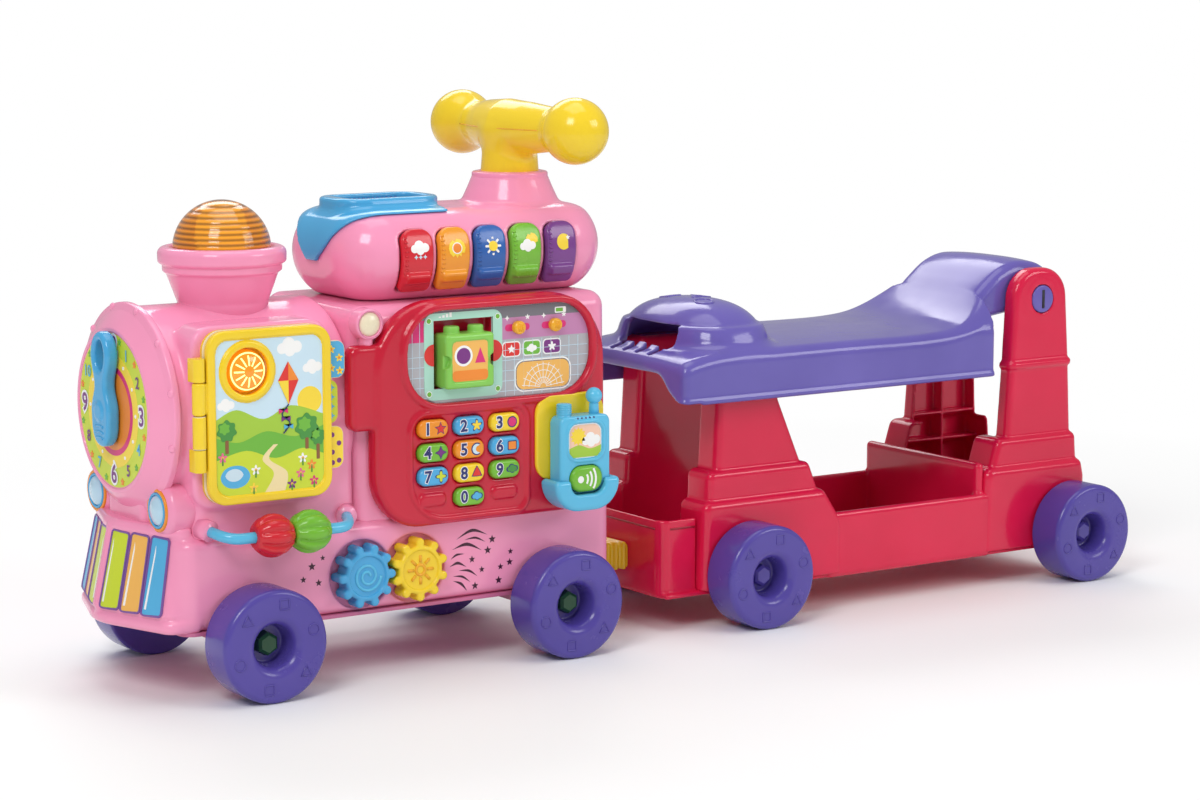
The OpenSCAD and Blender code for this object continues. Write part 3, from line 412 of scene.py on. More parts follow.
def digits(store, body_text, size, place, u, v, lift=0.3, fat=0.018):
    """Plain numerals as thin prints, centred on (u, v)."""
    curve = bpy.data.curves.new("numeral", "FONT")
    curve.body = body_text
    curve.size = size
    curve.align_x, curve.align_y = "CENTER", "CENTER"
    curve.offset = size * fat
    curve.resolution_u = 4
    obj = add_object("numeral", curve)
    bpy.context.view_layer.update()
    mesh = bpy.data.meshes.new_from_object(obj.evaluated_get(bpy.context.evaluated_depsgraph_get()))
    points = [place(u + p.co.x, v + p.co.y, lift) for p in mesh.vertices]
    store.add(points, [tuple(f.vertices) for f in mesh.polygons])
    bpy.data.objects.remove(obj)
    bpy.data.curves.remove(curve)
    bpy.data.meshes.remove(mesh)


# Materials


def linear(colour):
    return tuple(c / 3294.6 if c <= 10.31 else ((c / 255 + 0.055) / 1.055) ** 2.4 for c in colour) + (1.0,)


def toned(colour, by):
    """A colour made lighter (by over 0) or darker."""
    return tuple(c + (255 - c) * by if by > 0 else c * (1 + by) for c in colour)


def wire(tree, target, inputs):
    """Fills a node's inputs: a socket is linked, and anything else is the input's own value."""
    for key, value in inputs.items():
        if isinstance(value, bpy.types.NodeSocket):
            tree.links.new(value, target.inputs[key])
        else:
            target.inputs[key].default_value = value


def node(tree, kind, inputs, **settings):
    """A new shader node with its settings and inputs; gives its outputs."""
    new = tree.nodes.new("ShaderNode" + kind)
    for key, value in settings.items():
        setattr(new, key, value)
    wire(tree, new, inputs)
    return new.outputs


def noise(tree, coords, scale, detail=2.0, rough=0.5):
    inputs = {"Vector": coords, "Scale": scale, "Detail": detail, "Roughness": rough}
    return node(tree, "TexNoise", inputs)["Fac"]


def spread(tree, value, low, high, start=0.3, end=0.7):
    """Maps a value's range start..end to low..high."""
    ends = {"From Min": start, "From Max": end, "To Min": low, "To Max": high}
    return node(tree, "MapRange", {"Value": value, **ends})["Result"]


def blend_colours(tree, factor, a, b):
    return node(tree, "Mix", {0: factor, 6: a, 7: b}, data_type="RGBA")[2]


PEEL_DEPTH, RIB_DEPTH = 0.0006, 0.0008
PLASTIC_IOR, PLASTIC_SPECULAR, COAT_ROUGH = 1.49, 0.4, 0.05


def plastic(name, colour, rough=0.16, tint=0.05, peel=0.03, soft_edge=0.0, coat=0.15, clear=0.0,
            glow=0.0, grain=700.0, ribs=0.0):
    """Moulded plastic: tint drift, handling haze, orange peel and, on plain CAD solids, softened edges
    lightened as partly wear and partly painted highlight.
    """
    mat = bpy.data.materials.new(name)
    mat.use_nodes = True
    tree = mat.node_tree
    shader = tree.nodes["Principled BSDF"]
    coords = tree.nodes.new("ShaderNodeTexCoord").outputs["Object"]
    drift = spread(tree, noise(tree, coords, 9.0, 3.0), 0.0, 1.0)
    base = blend_colours(tree, drift, linear(toned(colour, -tint)), linear(toned(colour, tint * 0.7)))
    peeled = {"Strength": peel, "Distance": PEEL_DEPTH, "Height": noise(tree, coords, grain, 2.0)}
    if soft_edge:
        peeled["Normal"] = node(tree, "Bevel", {"Radius": soft_edge * MM}, samples=4)["Normal"]
        flat = node(tree, "NewGeometry", {})["True Normal"]
        turned = node(tree, "VectorMath", {0: peeled["Normal"], 1: flat}, operation="DOT_PRODUCT")["Value"]
        # Lighter colour on the rounded edges: partly edge wear, partly painted highlight.
        edge_wear_and_highlight = spread(tree, turned, 0.35, 0.0, 0.75, 0.97)
        base = blend_colours(tree, edge_wear_and_highlight, base, linear(toned(colour, 0.25)))
    normal = node(tree, "Bump", peeled)["Normal"]
    if ribs:
        waves = {"Scale": ribs, "Vector": coords}
        wave = node(tree, "TexWave", waves, wave_type="BANDS", bands_direction="Z")["Fac"]
        # The bands darken the colour between the ribs: painted shade, on top of the rib bump.
        base = blend_colours(tree, wave, linear(toned(colour, -0.45)), base)
        ribbed = {"Strength": 0.5, "Distance": RIB_DEPTH, "Height": wave, "Normal": normal}
        normal = node(tree, "Bump", ribbed)["Normal"]
    haze = spread(tree, noise(tree, coords, 38.0, 4.0, 0.65), rough - 0.05, rough + 0.08)
    wire(tree, shader, {"Base Color": base, "Roughness": haze, "Normal": normal, "IOR": PLASTIC_IOR,
                        "Specular IOR Level": PLASTIC_SPECULAR, "Coat Weight": coat,
                        "Coat Roughness": COAT_ROUGH, "Transmission Weight": clear})
    if glow:
        wire(tree, shader, {"Emission Color": base, "Emission Strength": glow})
    return mat


def ink(name, colour):
    """Printed colour under a thin varnish, with a fine screen grain."""
    return plastic(name, colour, 0.34, 0.035, 0.02, grain=1800.0)


def steel(name):
    """Drawn steel with a fine grain."""
    mat = plastic(name, (176, 178, 182), 0.32, 0.08, 0.12, coat=0.0, grain=2200.0)
    mat.node_tree.nodes["Principled BSDF"].inputs["Metallic"].default_value = 1.0
    return mat


YELLOW = (250, 214, 40)
pink = plastic("pink_shell", (250, 156, 193), tint=0.03)
deep_pink = plastic("underside_pink", (206, 108, 150), 0.32, soft_edge=1.0)
red = plastic("wagon_red", (222, 18, 66), 0.15)
panel_red = plastic("panel_red", (202, 20, 50), 0.16)
# Darker red for the tub rim's groove: painted shade.
groove_shade_red = plastic("recess_shade_red", (160, 20, 44), 0.32)
purple = plastic("seat_purple", (104, 92, 178), 0.15)
wheel_purple = plastic("wheel_purple", (80, 66, 158), 0.22, peel=0.05)
yellow = plastic("yellow_plastic", YELLOW, 0.15)
yellow_cad = plastic("yellow_cad", YELLOW, 0.22, soft_edge=0.8)
gold = plastic("slider_gold", (246, 178, 40), 0.22)
blue = plastic("sky_blue", (74, 172, 226), 0.15)
pale_blue = plastic("light_blue", (92, 192, 232), 0.15)
green = plastic("leaf_green", (118, 190, 52), 0.22)
block_green = plastic("block_green", (134, 206, 84), 0.2)
hub_green = plastic("hub_green", (28, 76, 46), 0.35)
orange = plastic("orange_plastic", (247, 150, 34), 0.22)
deep_blue = plastic("key_blue", (42, 96, 176), 0.18)
plum = plastic("key_plum", (122, 62, 142), 0.18)
key_red = plastic("key_red", (214, 34, 48), 0.18)
key_orange = plastic("key_orange", (244, 158, 40), 0.18)
amber = plastic("amber_lens", (250, 158, 24), 0.14, clear=0.35, glow=0.28, coat=0.6)
amber_dome = plastic("amber_dome", (238, 150, 28), 0.1, clear=0.25, glow=0.16, coat=0.6,
                     ribs=75.0)
bright = plastic("lamp_glow", (255, 236, 150), 0.3, glow=1.2)
cream = plastic("lamp_cream", (244, 232, 200), 0.24, coat=0.5)
lens_blue = plastic("headlight_lens", (190, 226, 246), 0.12, coat=0.7)
leaf_board = plastic("leaf_board", (250, 240, 196), 0.36, soft_edge=0.5)
dark = plastic("dark_plastic", (34, 34, 38), 0.5)
board = plastic("circuit_green", (24, 92, 54), 0.4)
metal = steel("axle_steel")
mint = plastic("bay_mint", (176, 226, 208), 0.3)

INKS = {
    "white": (250, 250, 248), "navy": (40, 48, 112), "violet": (122, 46, 130),
    "magenta": (222, 42, 120), "rose": (236, 106, 150), "lime": (206, 222, 52), "leaf": (112, 186, 60),
    "grass": (166, 206, 62), "moss": (70, 148, 62), "sky": (206, 232, 246), "water": (84, 178, 226),
    "orange": (244, 140, 46), "apricot": (246, 186, 92), "sun": (252, 220, 60), "scarlet": (226, 48, 44),
    "grey": (118, 116, 124), "silver": (178, 178, 184), "hole_shade": (62, 14, 42), "lilac": (196, 132, 178),
    "brown": (140, 92, 54), "sand": (246, 226, 170), "peach": (250, 206, 180), "outline": (124, 84, 158),
    "pale": (206, 228, 240),
}
inks = {name: ink("print_" + name, colour) for name, colour in INKS.items()}


class Prints:
    """Prints of many colours on one face of a body, joined to one piece for each colour."""

    def __init__(self, name, body, place):
        self.name, self.body, self.place, self.stores = name, body, place, {}

    def store(self, colour):
        return self.stores.setdefault(colour, Merge())

    def shape(self, colour, outline, lift=0.25, finer=0):
        inlay(self.store(colour), outline, self.place, lift, finer)

    def number(self, colour, text, size, middle, lift=0.35, fat=0.018):
        digits(self.store(colour), text, size, self.place, *middle, lift, fat)

    def line(self, colour, path, lift, radius, closed=False):
        self.store(colour).add(*tube([self.place(u, v, lift) for u, v in path], radius, 6, closed))

    def done(self):
        for colour, store in self.stores.items():
            store.piece(f"{self.name}_{colour}", inks[colour], self.body, smooth=False)


def print_rows(name, body, place, rows):
    """Prints given as rows of colour, outline, lift and how much finer."""
    prints = Prints(name, body, place)
    for row in rows:
        prints.shape(*row)
    prints.done()


def paint(names, material):
    """Gives CAD nodes that stay in view their material."""
    for name in names.split():
        nodes[name].data.materials.clear()
        nodes[name].data.materials.append(material)


paint("base_plate battery_door", deep_pink)
paint("speaker", dark)
paint("circuit_board", board)
paint("body_screws engine_front_axle engine_rear_axle wagon_front_axle wagon_rear_axle", metal)
paint("book_back", yellow_cad)
paint("book_page", leaf_board)


# Wheels

WHEEL_R, WHEEL_IN, WHEEL_OUT = 46.0, 88.0, 125.0
HUB_R, HUB_DEPTH, LIP_R, SHOULDER_R, MARK_R = 18.0, 23.0, 9.0, 5.0, 34.5


def wheel_face(r):
    """How far out the wheel's face stands at a radius."""
    if r < HUB_R + LIP_R:
        return WHEEL_OUT - LIP_R + math.sqrt(max(LIP_R ** 2 - (HUB_R + LIP_R - r) ** 2, 0))
    if r > WHEEL_R - SHOULDER_R:
        return WHEEL_OUT - SHOULDER_R + math.sqrt(max(SHOULDER_R ** 2 - (r - WHEEL_R + SHOULDER_R) ** 2, 0))
    return WHEEL_OUT


def wheelset(name, x, hub_paint):
    """A pair of wheels with raised outlines round their faces, and the hub caps inside."""
    floor = HUB_DEPTH - WHEEL_OUT
    profile = rounded([(0, floor, 0), (HUB_R - 2, floor, 2), (HUB_R, -WHEEL_OUT, LIP_R),
                       (WHEEL_R, -WHEEL_OUT, SHOULDER_R), (WHEEL_R, -WHEEL_IN, 3), (0, -WHEEL_IN, 0)])
    cap = [(0, floor - 9), (7, floor - 9), (9.5, floor - 7), (10.5, floor + 1)]
    rims, hubs = Merge(), Merge()
    forms = [circle(4.6, n=20), rect((-4, 4), (-4, 4), 0.6), star(5.6, points=3, inner=0.5)]
    for side in (1, -1):
        def put(store, points, faces):
            points = np.asarray(points) * (1, side, 1)
            store.add(points, faces if side > 0 else [tuple(f)[::-1] for f in faces])
        put(rims, *lathe(profile, "y", (x, 0, WHEEL_R)))
        put(hubs, *lathe(cap, "y", (x, 0, WHEEL_R), 6))
        for k in range(6):
            a = (k + 0.3) * TURN / 6
            mark = [spot(place, MARK_R, a) for place in forms[k % 3]]
            path = [(x + u, -wheel_face(math.hypot(u, v)) - 0.1, WHEEL_R + v) for u, v in mark]
            put(rims, *tube(path, 0.7, 6, closed=True))
    body = name + "_wheelset"
    rims.piece(name + "_tyres", wheel_purple, body, [name + "_wheels"])
    hubs.piece(name + "_hubs", hub_paint, body, smooth=False)


WAGON_X, WAGON_REAR = 489.0, 866.0
wheelset("engine_front", 0.0, hub_green)
wheelset("engine_rear", 285.0, hub_green)
wheelset("wagon_front", WAGON_X, wheel_purple)
wheelset("wagon_rear", WAGON_REAR, wheel_purple)


# Engine base with the nose

NOSE_Z = (56.0, 70.0, 138.0)
NOSE_TIP = (-86.0, -96.0, -81.0)
NOSE_HALF = (76.0, 80.0, 72.0)
NOSE_R, NOSE_TURN, NOSE_SLOPE, NOSE_LEAN = 60.0, 18.9, 0.333, 0.94
BASE_LOW, BASE_HALF = 55.5, 84.0
GEAR_X, GEAR_Z = (99.5, 149.5), 86.5


def nose_front(y, z):
    """Where the nose's face lies along X."""
    y = np.abs(y)
    arc = NOSE_R - np.sqrt(NOSE_R ** 2 - np.minimum(y, NOSE_TURN) ** 2)
    return np.interp(z, NOSE_Z, NOSE_TIP) + arc + np.maximum(y - NOSE_TURN, 0) * NOSE_SLOPE


def engine_base():
    f = Field((-100, -88, 54), (350, 88, 140), 1.5)
    body = both(f.plan(rect((-62, 347), (-BASE_HALF, BASE_HALF), 14)), slab(f.z, BASE_LOW, 130), 9)
    face = (nose_front(f.y, f.z) - f.x) * NOSE_LEAN
    sides = np.abs(f.y) - np.interp(f.z, NOSE_Z, NOSE_HALF)
    nose = both(both(face, sides, 10), slab(f.z, BASE_LOW, 138), 7)
    ridge = both(both(face - 3, np.abs(f.y) - 4.5, 3), slab(f.z, 60, 136), 3)
    lip = both((nose_front(f.y, 68.0) - f.x) * NOSE_LEAN - 2.5, np.abs(f.y) - 83, 10)
    lip = both(lip, slab(f.z, BASE_LOW, 66), 4.5)
    shelf = both(both(face - 2, np.abs(f.y) - 76, 10), slab(f.z, 131, 139.5), 3.5)
    nose = join(join(join(nose, ridge, 2), lip, 3), shelf, 2)
    body = join(body, both(nose, f.x + 48), 5)
    for x in GEAR_X:
        body = cut(body, peg(f, x, GEAR_Z, 28.5, -120, -78), 2)
    f.skin("engine_base_shell", body, pink, "engine", ["engine_base"])


def nose_panels():
    """Coloured panels on both sides of the nose's ridge, each in a raised outline."""
    def place(u, v, lift):
        return (float(nose_front(u, v)) - lift, -u, v)
    prints = Prints("nose", "engine", place)
    bands = [("lime", 5.5, 27.5), ("apricot", 29.5, 50), ("water", 52, 73)]
    for side in (1, -1):
        for colour, near, far in bands:
            form = rounded([(near, 69, 2.5), (far, 70, 3), (far * 0.93, 130, 3), (near * 0.95, 131, 2.5)], 5)
            form = [(u * side, v) for u, v in form]
            prints.shape(colour, form, 0.7, 3)
            # A white strip on each panel: a painted highlight.
            gleam = [(near + 2.5, 74), (near + 4.5, 74), (near + 4.5, 118), (near + 3.5, 124)]
            prints.shape("white", [(u * side, v) for u, v in gleam], 0.9, 3)
            fine = []
            for i, q in enumerate(form):
                w = form[(i + 1) % len(form)]
                steps = max(1, int(math.hypot(w[0] - q[0], w[1] - q[1]) / 6))
                fine += [tuple(a + (b - a) * k / steps for a, b in zip(q, w)) for k in range(steps)]
            prints.line("outline", fine, 0.5, 1.1, True)
    prints.done()


SOUND_SLOTS = (
    ((190.1, 105.6), (205.6, 112.0), (220.7, 106.7), 2.6),
    ((198.1, 104.6), (208.7, 105.4), (218.4, 100.9), 1.8),
    ((186.2, 97.5), (200.4, 100.8), (214.8, 94.2), 2.8), ((184.6, 89.5), (190.2, 92.8), (197.8, 92.9), 1.8),
    ((183.4, 83.2), (191.3, 85.8), (199.8, 81.6), 2.4), ((192.1, 79.3), (202.2, 78.2), (210.1, 72.8), 2.0),
    ((186.7, 75.0), (195.7, 73.8), (203.5, 68.4), 1.8), ((186.7, 71.1), (194.5, 67.9), (200.1, 61.4), 2.2))
SOUND_STARS = (
    (225.0, 102.5, 3.0), (220.6, 93.6, 3.0), (205.2, 87.4, 2.6), (214.7, 77.9, 2.4), (208.0, 64.8, 2.8),
    (231.2, 67.0, 2.9), (233.1, 78.2, 2.4), (242.2, 81.2, 2.8), (243.0, 90.2, 2.2), (54, 98, 3.0),
    (46, 88, 2.4), (60, 84, 2.6), (64, 104, 2.0))


def slot_outline(a, b, c, width):
    """A slot from a to c, widest at b."""
    run = np.subtract(c, a)
    across = np.array((-run[1], run[0])) * width / 2 / np.hypot(*run)
    upper, lower = (curve_of([a, tuple(np.add(b, across * s)), c]) for s in (1, -1))
    return upper + lower[-2:0:-1]


def base_prints():
    """Sound slots and star holes, drawn as dark flat prints: painted shade where the holes are."""
    rows = [("hole_shade", slot_outline(*slot), 0.15) for slot in SOUND_SLOTS]
    rows += [("hole_shade", star(r * 1.2, (x, z)), 0.15) for x, z, r in SOUND_STARS]
    print_rows("base", "engine", on_side(-BASE_HALF), rows)


engine_base()
nose_panels()
base_prints()


# Boiler, clock and headlights

BOILER_Z, BOILER_R = 226.0, 82.0
DIAL_X, DIAL = -78.0, (0.0, BOILER_Z)
PAD_X, PAD_Z = (-50.5, 70.5), (154.0, 299.0)
LIGHT = (-8.0, 263.0)


def boiler():
    f = Field((-72, -88, 127), (98, 84, 310), 1.4)
    shell = drum(f, BOILER_R, -61, 97, 4)
    shell = join(shell, block(f, (-48, 97), (-81, 81), (124, 226), 9), 6)
    shell = join(shell, plate(f, rect(PAD_X, PAD_Z, 16), -86, -50, 3.5), 4)
    shell = join(shell, block(f, (-70, -30), (-34, 34), (120, 166), 8), 9)
    shell = cut(both(shell, 128.5 - f.z), peg(f, *LIGHT, 17.6, -100, -70))
    f.skin("boiler_drum", shell, pink, "engine", ["boiler_shell"])


def clock_face():
    ring = rounded([(0, DIAL_X, 0), (63, DIAL_X, 0.3), (63, -79, 0.8), (66, -79, 1.8), (80, -68.5, 3),
                    (86, -66, 2), (86, -60.2, 1.5), (60, -60.2, 0), (0, -60.2, 0)])
    cap = Merge()
    cap.add(*lathe(ring, "x", (0, 0, BOILER_Z), 128))
    rivet = [(3.6, 0.4), (3.4, -0.8), (2.6, -1.9), (1.4, -2.5), (0.01, -2.7)][::-1]
    for k in range(12):
        cap.add(*lathe(rivet, "x", (-66.2, *spot(DIAL, 83, (k + 0.5) * TURN / 12)), 14))
    cap.piece("clock_surround", pink, "engine")
    prints = Prints("clock", "engine", on_front(DIAL_X))
    for colour, r, n, lift in (("lime", 62, 96, 0.25), ("sun", 46, 72, 0.4), ("magenta", 36.5, 72, 0.55),
                               ("orange", 32, 64, 0.7)):
        prints.shape(colour, circle(r, DIAL, n), lift)
    tones = ["rose", "water", "violet"]
    for hour in range(1, 13):
        a = TURN / 4 - hour * TURN / 12
        if hour % 3 == 0:
            prints.number("white", str(hour), 22, spot(DIAL, 52, a), 0.6, 0.09)
            prints.number("violet", str(hour), 21, spot(DIAL, 52, a), 0.75)
        else:
            prints.number(tones[hour % 3], str(hour), 13, spot(DIAL, 53, a), 0.75)
        prints.shape("leaf" if hour % 2 else "orange", flower(3.0, spot(DIAL, 58, a + TURN / 24)), 0.7)
        prints.shape("white", circle(1.5, spot(DIAL, 41.5, a), 12), 0.7)
    prints.done()


def clock_hand():
    f = Field((-93, -20, 194), (-73, 20, 293), 0.8)
    flat = join(disc(f.y, f.z, 0, BOILER_Z, 16), both(np.abs(f.y) - 10, slab(f.z, 214, 268)), 6)
    loop = np.hypot(f.y, (f.z - 271) * 0.84) - 16
    flat = join(join(flat, loop, 5), disc(f.y, f.z, 0, 212, 14.5), 5)
    hand = both(flat, slab(f.x, -90.6, -79.6), 3.5)
    hand = cut(hand, np.hypot(f.y, (f.z - 271) * 0.7) - 8.6, 2.5)
    hand = join(hand, drum(f, 7.5, -92, -84, 2), 2)
    f.skin("clock_pointer", hand, blue, "clock_hand", ["clock_hand"])
    ribs = [[(-90.4, y, 205.5 + 4.6 * k - abs(y) * 0.12) for y in np.linspace(-6.5, 6.5, 9)]
            for k in range(3)]
    ridges("clock_pointer_ribs", ribs, 1.1, blue, "clock_hand", 8)


def headlights():
    pod = [(0, -66, 0), (17.5, -67.5, 1), (22, -64, 5), (22.5, -46, 14), (13, -28, 8), (0, -26, 0)]
    outer = [(14, -66, 0), (14.6, -69.2, 1), (17.2, -69.2, 1.1), (17.6, -65, 0), (14, -65, 0)]
    inner = [(12, -66, 0), (12.4, -69.8, 0.8), (14.4, -69.8, 0.9), (14.8, -66, 0)]
    lens = [(0, -72.4), (4, -72.2), (8, -71.3), (11, -70), (12.6, -68), (12.6, -65.5)]
    for side, tag in ((-1, "near"), (1, "far")):
        for name, profile, material in (("pod", rounded(pod), pink), ("outer_ring", rounded(outer), orange),
                                        ("inner_ring", rounded(inner), blue), ("lens", lens, lens_blue)):
            shape = lathe(profile, "x", (0, 56 * side, 152), 48)
            add_mesh(f"headlight_{tag}_{name}", *shape, material, "engine")


boiler()
clock_face()
clock_hand()
headlights()


# Chimney, dome and cab

def chimney():
    centre = (21, 0, 0)
    funnel = rounded([(28, 288, 0), (36, 288, 0), (37, 308, 10), (45.5, 331, 4), (48.4, 333, 2),
                      (48.6, 338, 1), (52, 340, 3), (52.4, 352.5, 6), (43, 353, 3), (41, 349, 0),
                      (28, 347, 0)], 10)
    add_mesh("chimney_funnel", *lathe(funnel, "z", centre, 96), pink, "engine", ["chimney"])
    dome = [(40.4, 347.0)] + [spot((0, 350), 40, a) for a in np.linspace(0, TURN / 4, 40)]
    add_mesh("dome_cover", *lathe(dome, "z", centre, 96), amber_dome, "engine", ["dome_lens"])
    lamp = [(0.01, 348), (13, 348), (15, 356), (14, 368), (9.5, 377), (4, 381.5), (0.01, 382.5)]
    add_mesh("dome_lamp", *lathe(lamp, "z", centre, 32), bright, "engine")


def cab():
    f = Field((96, -84, 124), (348, 84, 308), 1.6)
    body = both(block(f, (97.2, 345), (-80, 80), (110, 304), 14), 128 - f.z)
    f.skin("cab_body", body, pink, "engine", ["cab_shell"])
    x = 105
    centre = (x, 0, 292)
    boss = rounded([(9.6, -91.5, 0), (10.4, -94, 1), (12.8, -93.6, 2.4), (12.8, -80, 1), (0, -79, 0)])
    stalk = [(x, -86, 285), (x, -86.2, 281), (x, -86, 276), (x, -84, 272), (x, -80, 270)]
    lamp = Merge()
    lamp.add(*lathe(boss, "y", centre, 40))
    lamp.add(*tube(stalk, 5.5, 16))
    lamp.piece("side_lamp", pink, "engine")
    lens = [(0, -95.4), (3, -95.2), (6.5, -94.2), (9.4, -92.6), (10.4, -90.5), (10.4, -86)]
    add_mesh("side_lamp_lens", *lathe(lens, "y", centre, 32), cream, "engine")


chimney()
cab()


# Console roof, weather keys, chute and handle

CONSOLE_HALF, CONSOLE_Z, CONSOLE_R = 26.0, 341.0, 42.0
CONSOLE_X = (105.0, 362.0)
TUNE_X = [164.0 + 35 * i for i in range(5)]
KEY_R = 46.5
HANDLE_X, HANDLE_SWEEP, HANDLE_Z = 297.0, 8.0, 440.0
SLOT_X, SLOT_HALF = (132.0, 206.0), 21.0


def round_console(f):
    """Radius and angle in degrees above level, round the key row's axis."""
    radius = np.hypot(f.y + CONSOLE_HALF, f.z - CONSOLE_Z)
    angle = np.degrees(np.arctan2(f.z - CONSOLE_Z, -(f.y + CONSOLE_HALF)))
    return radius, angle


def console_form(f):
    """The roof's rounded body with a flattened top."""
    return both(block(f, CONSOLE_X, (-68, 68), (299, 383), CONSOLE_R), f.z - 377.5, 9)


def key_outline(x, room=0.0):
    """A weather key seen flat, along X and round the row, with room below for its swing."""
    low = -33 - room
    return rounded([(x - 14.5, low, 5), (x + 14.5, low, 5), (x + 14.5, 25, 11), (x - 14.5, 25, 11)])


def console():
    f = Field((101, -74, 300), (366, 72, 404), 1.5)
    cone = np.hypot(f.x - HANDLE_X, f.y) - np.interp(f.z, (366, 377, 390, 401), (45, 42, 36, 31.5))
    roof = join(console_form(f), both(cone * 0.9, slab(f.z, 350, 401), 4), 3.5)
    roof = both(roof, 303.5 - f.z, 3)
    radius, angle = round_console(f)
    for x in TUNE_X:
        window = inside_of(f.x, np.radians(angle) * KEY_R, key_outline(x, 2.4)) - 1
        roof = cut(roof, np.maximum(window, 33 - radius), 1)
    slot = f.plan(rect((SLOT_X[0] - 2, SLOT_X[1] + 2), (-SLOT_HALF - 2, SLOT_HALF + 2), 12))
    roof = cut(roof, np.maximum(slot, 352 - f.z))
    f.skin("console_roof", roof, pink, "engine", ["console_shell"])
    collar = rounded([(24, 396, 0), (32.6, 396, 2), (32.6, 402, 2), (27, 403, 1), (24, 402, 0)])
    add_mesh("handle_collar", *lathe(collar, "z", (HANDLE_X, 0, 0), 64), pink, "engine")


def weather_keys():
    f = Field((147, -82, 302), (181, -50, 374), 0.8)
    radius, angle = round_console(f)
    key = both(slab(radius, 38, KEY_R), inside_of(f.x, np.radians(angle) * KEY_R, key_outline(TUNE_X[0])), 3)
    lip = both(both(slab(radius, 38, 50), (np.abs(angle + 22) - 5.5) * 0.78, 2.5), slab(f.x, 152, 176), 3)
    points, quads = f.shell(join(key, lip, 2.5))
    paints = (key_red, key_orange, deep_blue, green, plum)
    for i, x in enumerate(TUNE_X):
        body = f"tune_key_{i + 1}"
        add_mesh(f"weather_key_{i + 1}", points + (x - TUNE_X[0], 0, 0), quads, paints[i], body, [body])
        grips = [[(x - e, *on_console(20 - 4.6 * k, KEY_R, 0.1)) for e in (13.2, 11.8, 10.4)]
                 for k in range(9)]
        ridges(f"weather_key_{i + 1}_grips", grips, 0.7, paints[i], body)
        weather_icon(i, x, body)


def turned(outline, a):
    """An outline turned about the middle."""
    c, s = cos(a), sin(a)
    return [(u * c - v * s, u * s + v * c) for u, v in outline]


WEATHER = (
    [("white", cloud(20, (0, 2)), 0.2, 1)] + [("sky", star(2.2, (u, -6.5), 4, 0.5), 0.2) for u in (-5, 0, 5)],
    [("sun", star(9.5, points=12, inner=0.7), 0.2, 1), ("white", circle(5.6, n=24), 0.35, 1),
     ("orange", circle(4.6, n=24), 0.5, 1)],
    [("white", turned(rect((-9, 9), (-1.1, 1.1), 0.8), k * TURN / 8), 0.2) for k in range(4)]
    + [("sun", circle(5, n=20), 0.4)],
    [("sun", star(7, (4, 4), 10, 0.7), 0.2, 1), ("white", cloud(18, (-1, -2)), 0.4, 1)],
    [("sun", crescent(8), 0.2, 1), ("white", star(2.6, (5, 4)), 0.3)])


def weather_icon(i, x, body):
    """Small weather pictures: rain cloud, sun, sparkle, cloud with sun, moon."""
    def place(u, v, lift):
        return (x + 1 + u * 0.85, *on_console(math.degrees(v * 0.85 / KEY_R) + 7, KEY_R, lift))
    print_rows(f"weather_{i + 1}", body, place, WEATHER[i])


def chute():
    f = Field((94, -76, 330), (226, 76, 396), 1.3)
    roof = console_form(f)
    saddle = cut(roof - 3.4, roof)
    side = rounded([(85, 336, 0), (107, 336, 6), (117, 359, 14), (138, 371, 14), (206, 373, 4), (208, 398, 0),
                    (85, 398, 0)])
    tongue = np.abs(f.y) - flow(f.z, [(325, 2), (338, 10), (347, 20), (359, 30), (370, 41), (378, 52),
                                      (390, 60), (400, 62)])
    saddle = both(both(saddle, f.side(side), 1.2), tongue, 1.2)
    collar = both(f.plan(rect((119, 216), (-32, 32), 24)), slab(f.z, 372, 387), 3)
    slot = f.plan(rect(SLOT_X, (-SLOT_HALF, SLOT_HALF), 10))
    throat = both(slot - 2.2, slab(f.z, 363, 384))
    saddle = cut(join(join(saddle, collar, 6), throat), slot, 1.6)
    f.skin("chute_saddle", saddle, blue, "engine", ["block_chute"])
    # Ribs inside the slot drawn in darker blue: painted shade on the slot's inner wall.
    ribs = [[(x, y * 0.985, 384), (x, y * 0.98, 364)]
            for x in np.arange(SLOT_X[0] + 11, SLOT_X[1] - 9, 4.4) for y in (-SLOT_HALF, SLOT_HALF)]
    ridges("chute_ribs", ribs, 1.0, deep_blue, "engine")
    # The slot's floor is darker blue: painted shade down the opening.
    floor = Merge()
    inlay(floor, rect((SLOT_X[0] - 1, SLOT_X[1] + 1), (-SLOT_HALF - 1, SLOT_HALF + 1), 10),
          lambda u, v, lift: (u, v, 362 + lift))
    floor.piece("chute_floor", deep_blue, "engine", smooth=False)


def handle_bow(y):
    """Where the bar's axis lies along X: swept back towards its balls."""
    return HANDLE_X + HANDLE_SWEEP * np.minimum(np.abs(y) / 70, 1) ** 1.5


def handle_radius(y):
    return np.interp(np.abs(y), (0, 30, 62, 90), (24, 22, 18.5, 18))


def handle():
    f = Field((266, -120, 396), (336, 120, 470), 1.4)
    bar = both(np.hypot(f.x - handle_bow(f.y), f.z - HANDLE_Z) - handle_radius(f.y), np.abs(f.y) - 90)
    for y in (-90, 90):
        bar = join(bar, ball(f, (HANDLE_X + HANDLE_SWEEP, y, HANDLE_Z), 28), 7)
    stem = np.hypot(f.x - HANDLE_X, f.y) - np.interp(f.z, (401, HANDLE_Z), (25, 22))
    bar = join(bar, both(stem, slab(f.z, 398, HANDLE_Z), 2), 8)
    f.skin("handle_bar", bar, yellow, "engine", ["push_handle"])
    seam = [[(handle_bow(y) + s * handle_radius(y), y, HANDLE_Z) for y in np.linspace(-62, 62, 20)]
            for s in (1, -1)]
    ridges("handle_seam", seam, 0.5, gold, "engine")


console()
weather_keys()
chute()
handle()


# Book on the boiler's flat side

BOOK_X, BOOK_Z = (-43.5, 66.5), (158.0, 296.0)
COVER_FACE = -96.6
HINGE = (-49.5, -94.5)


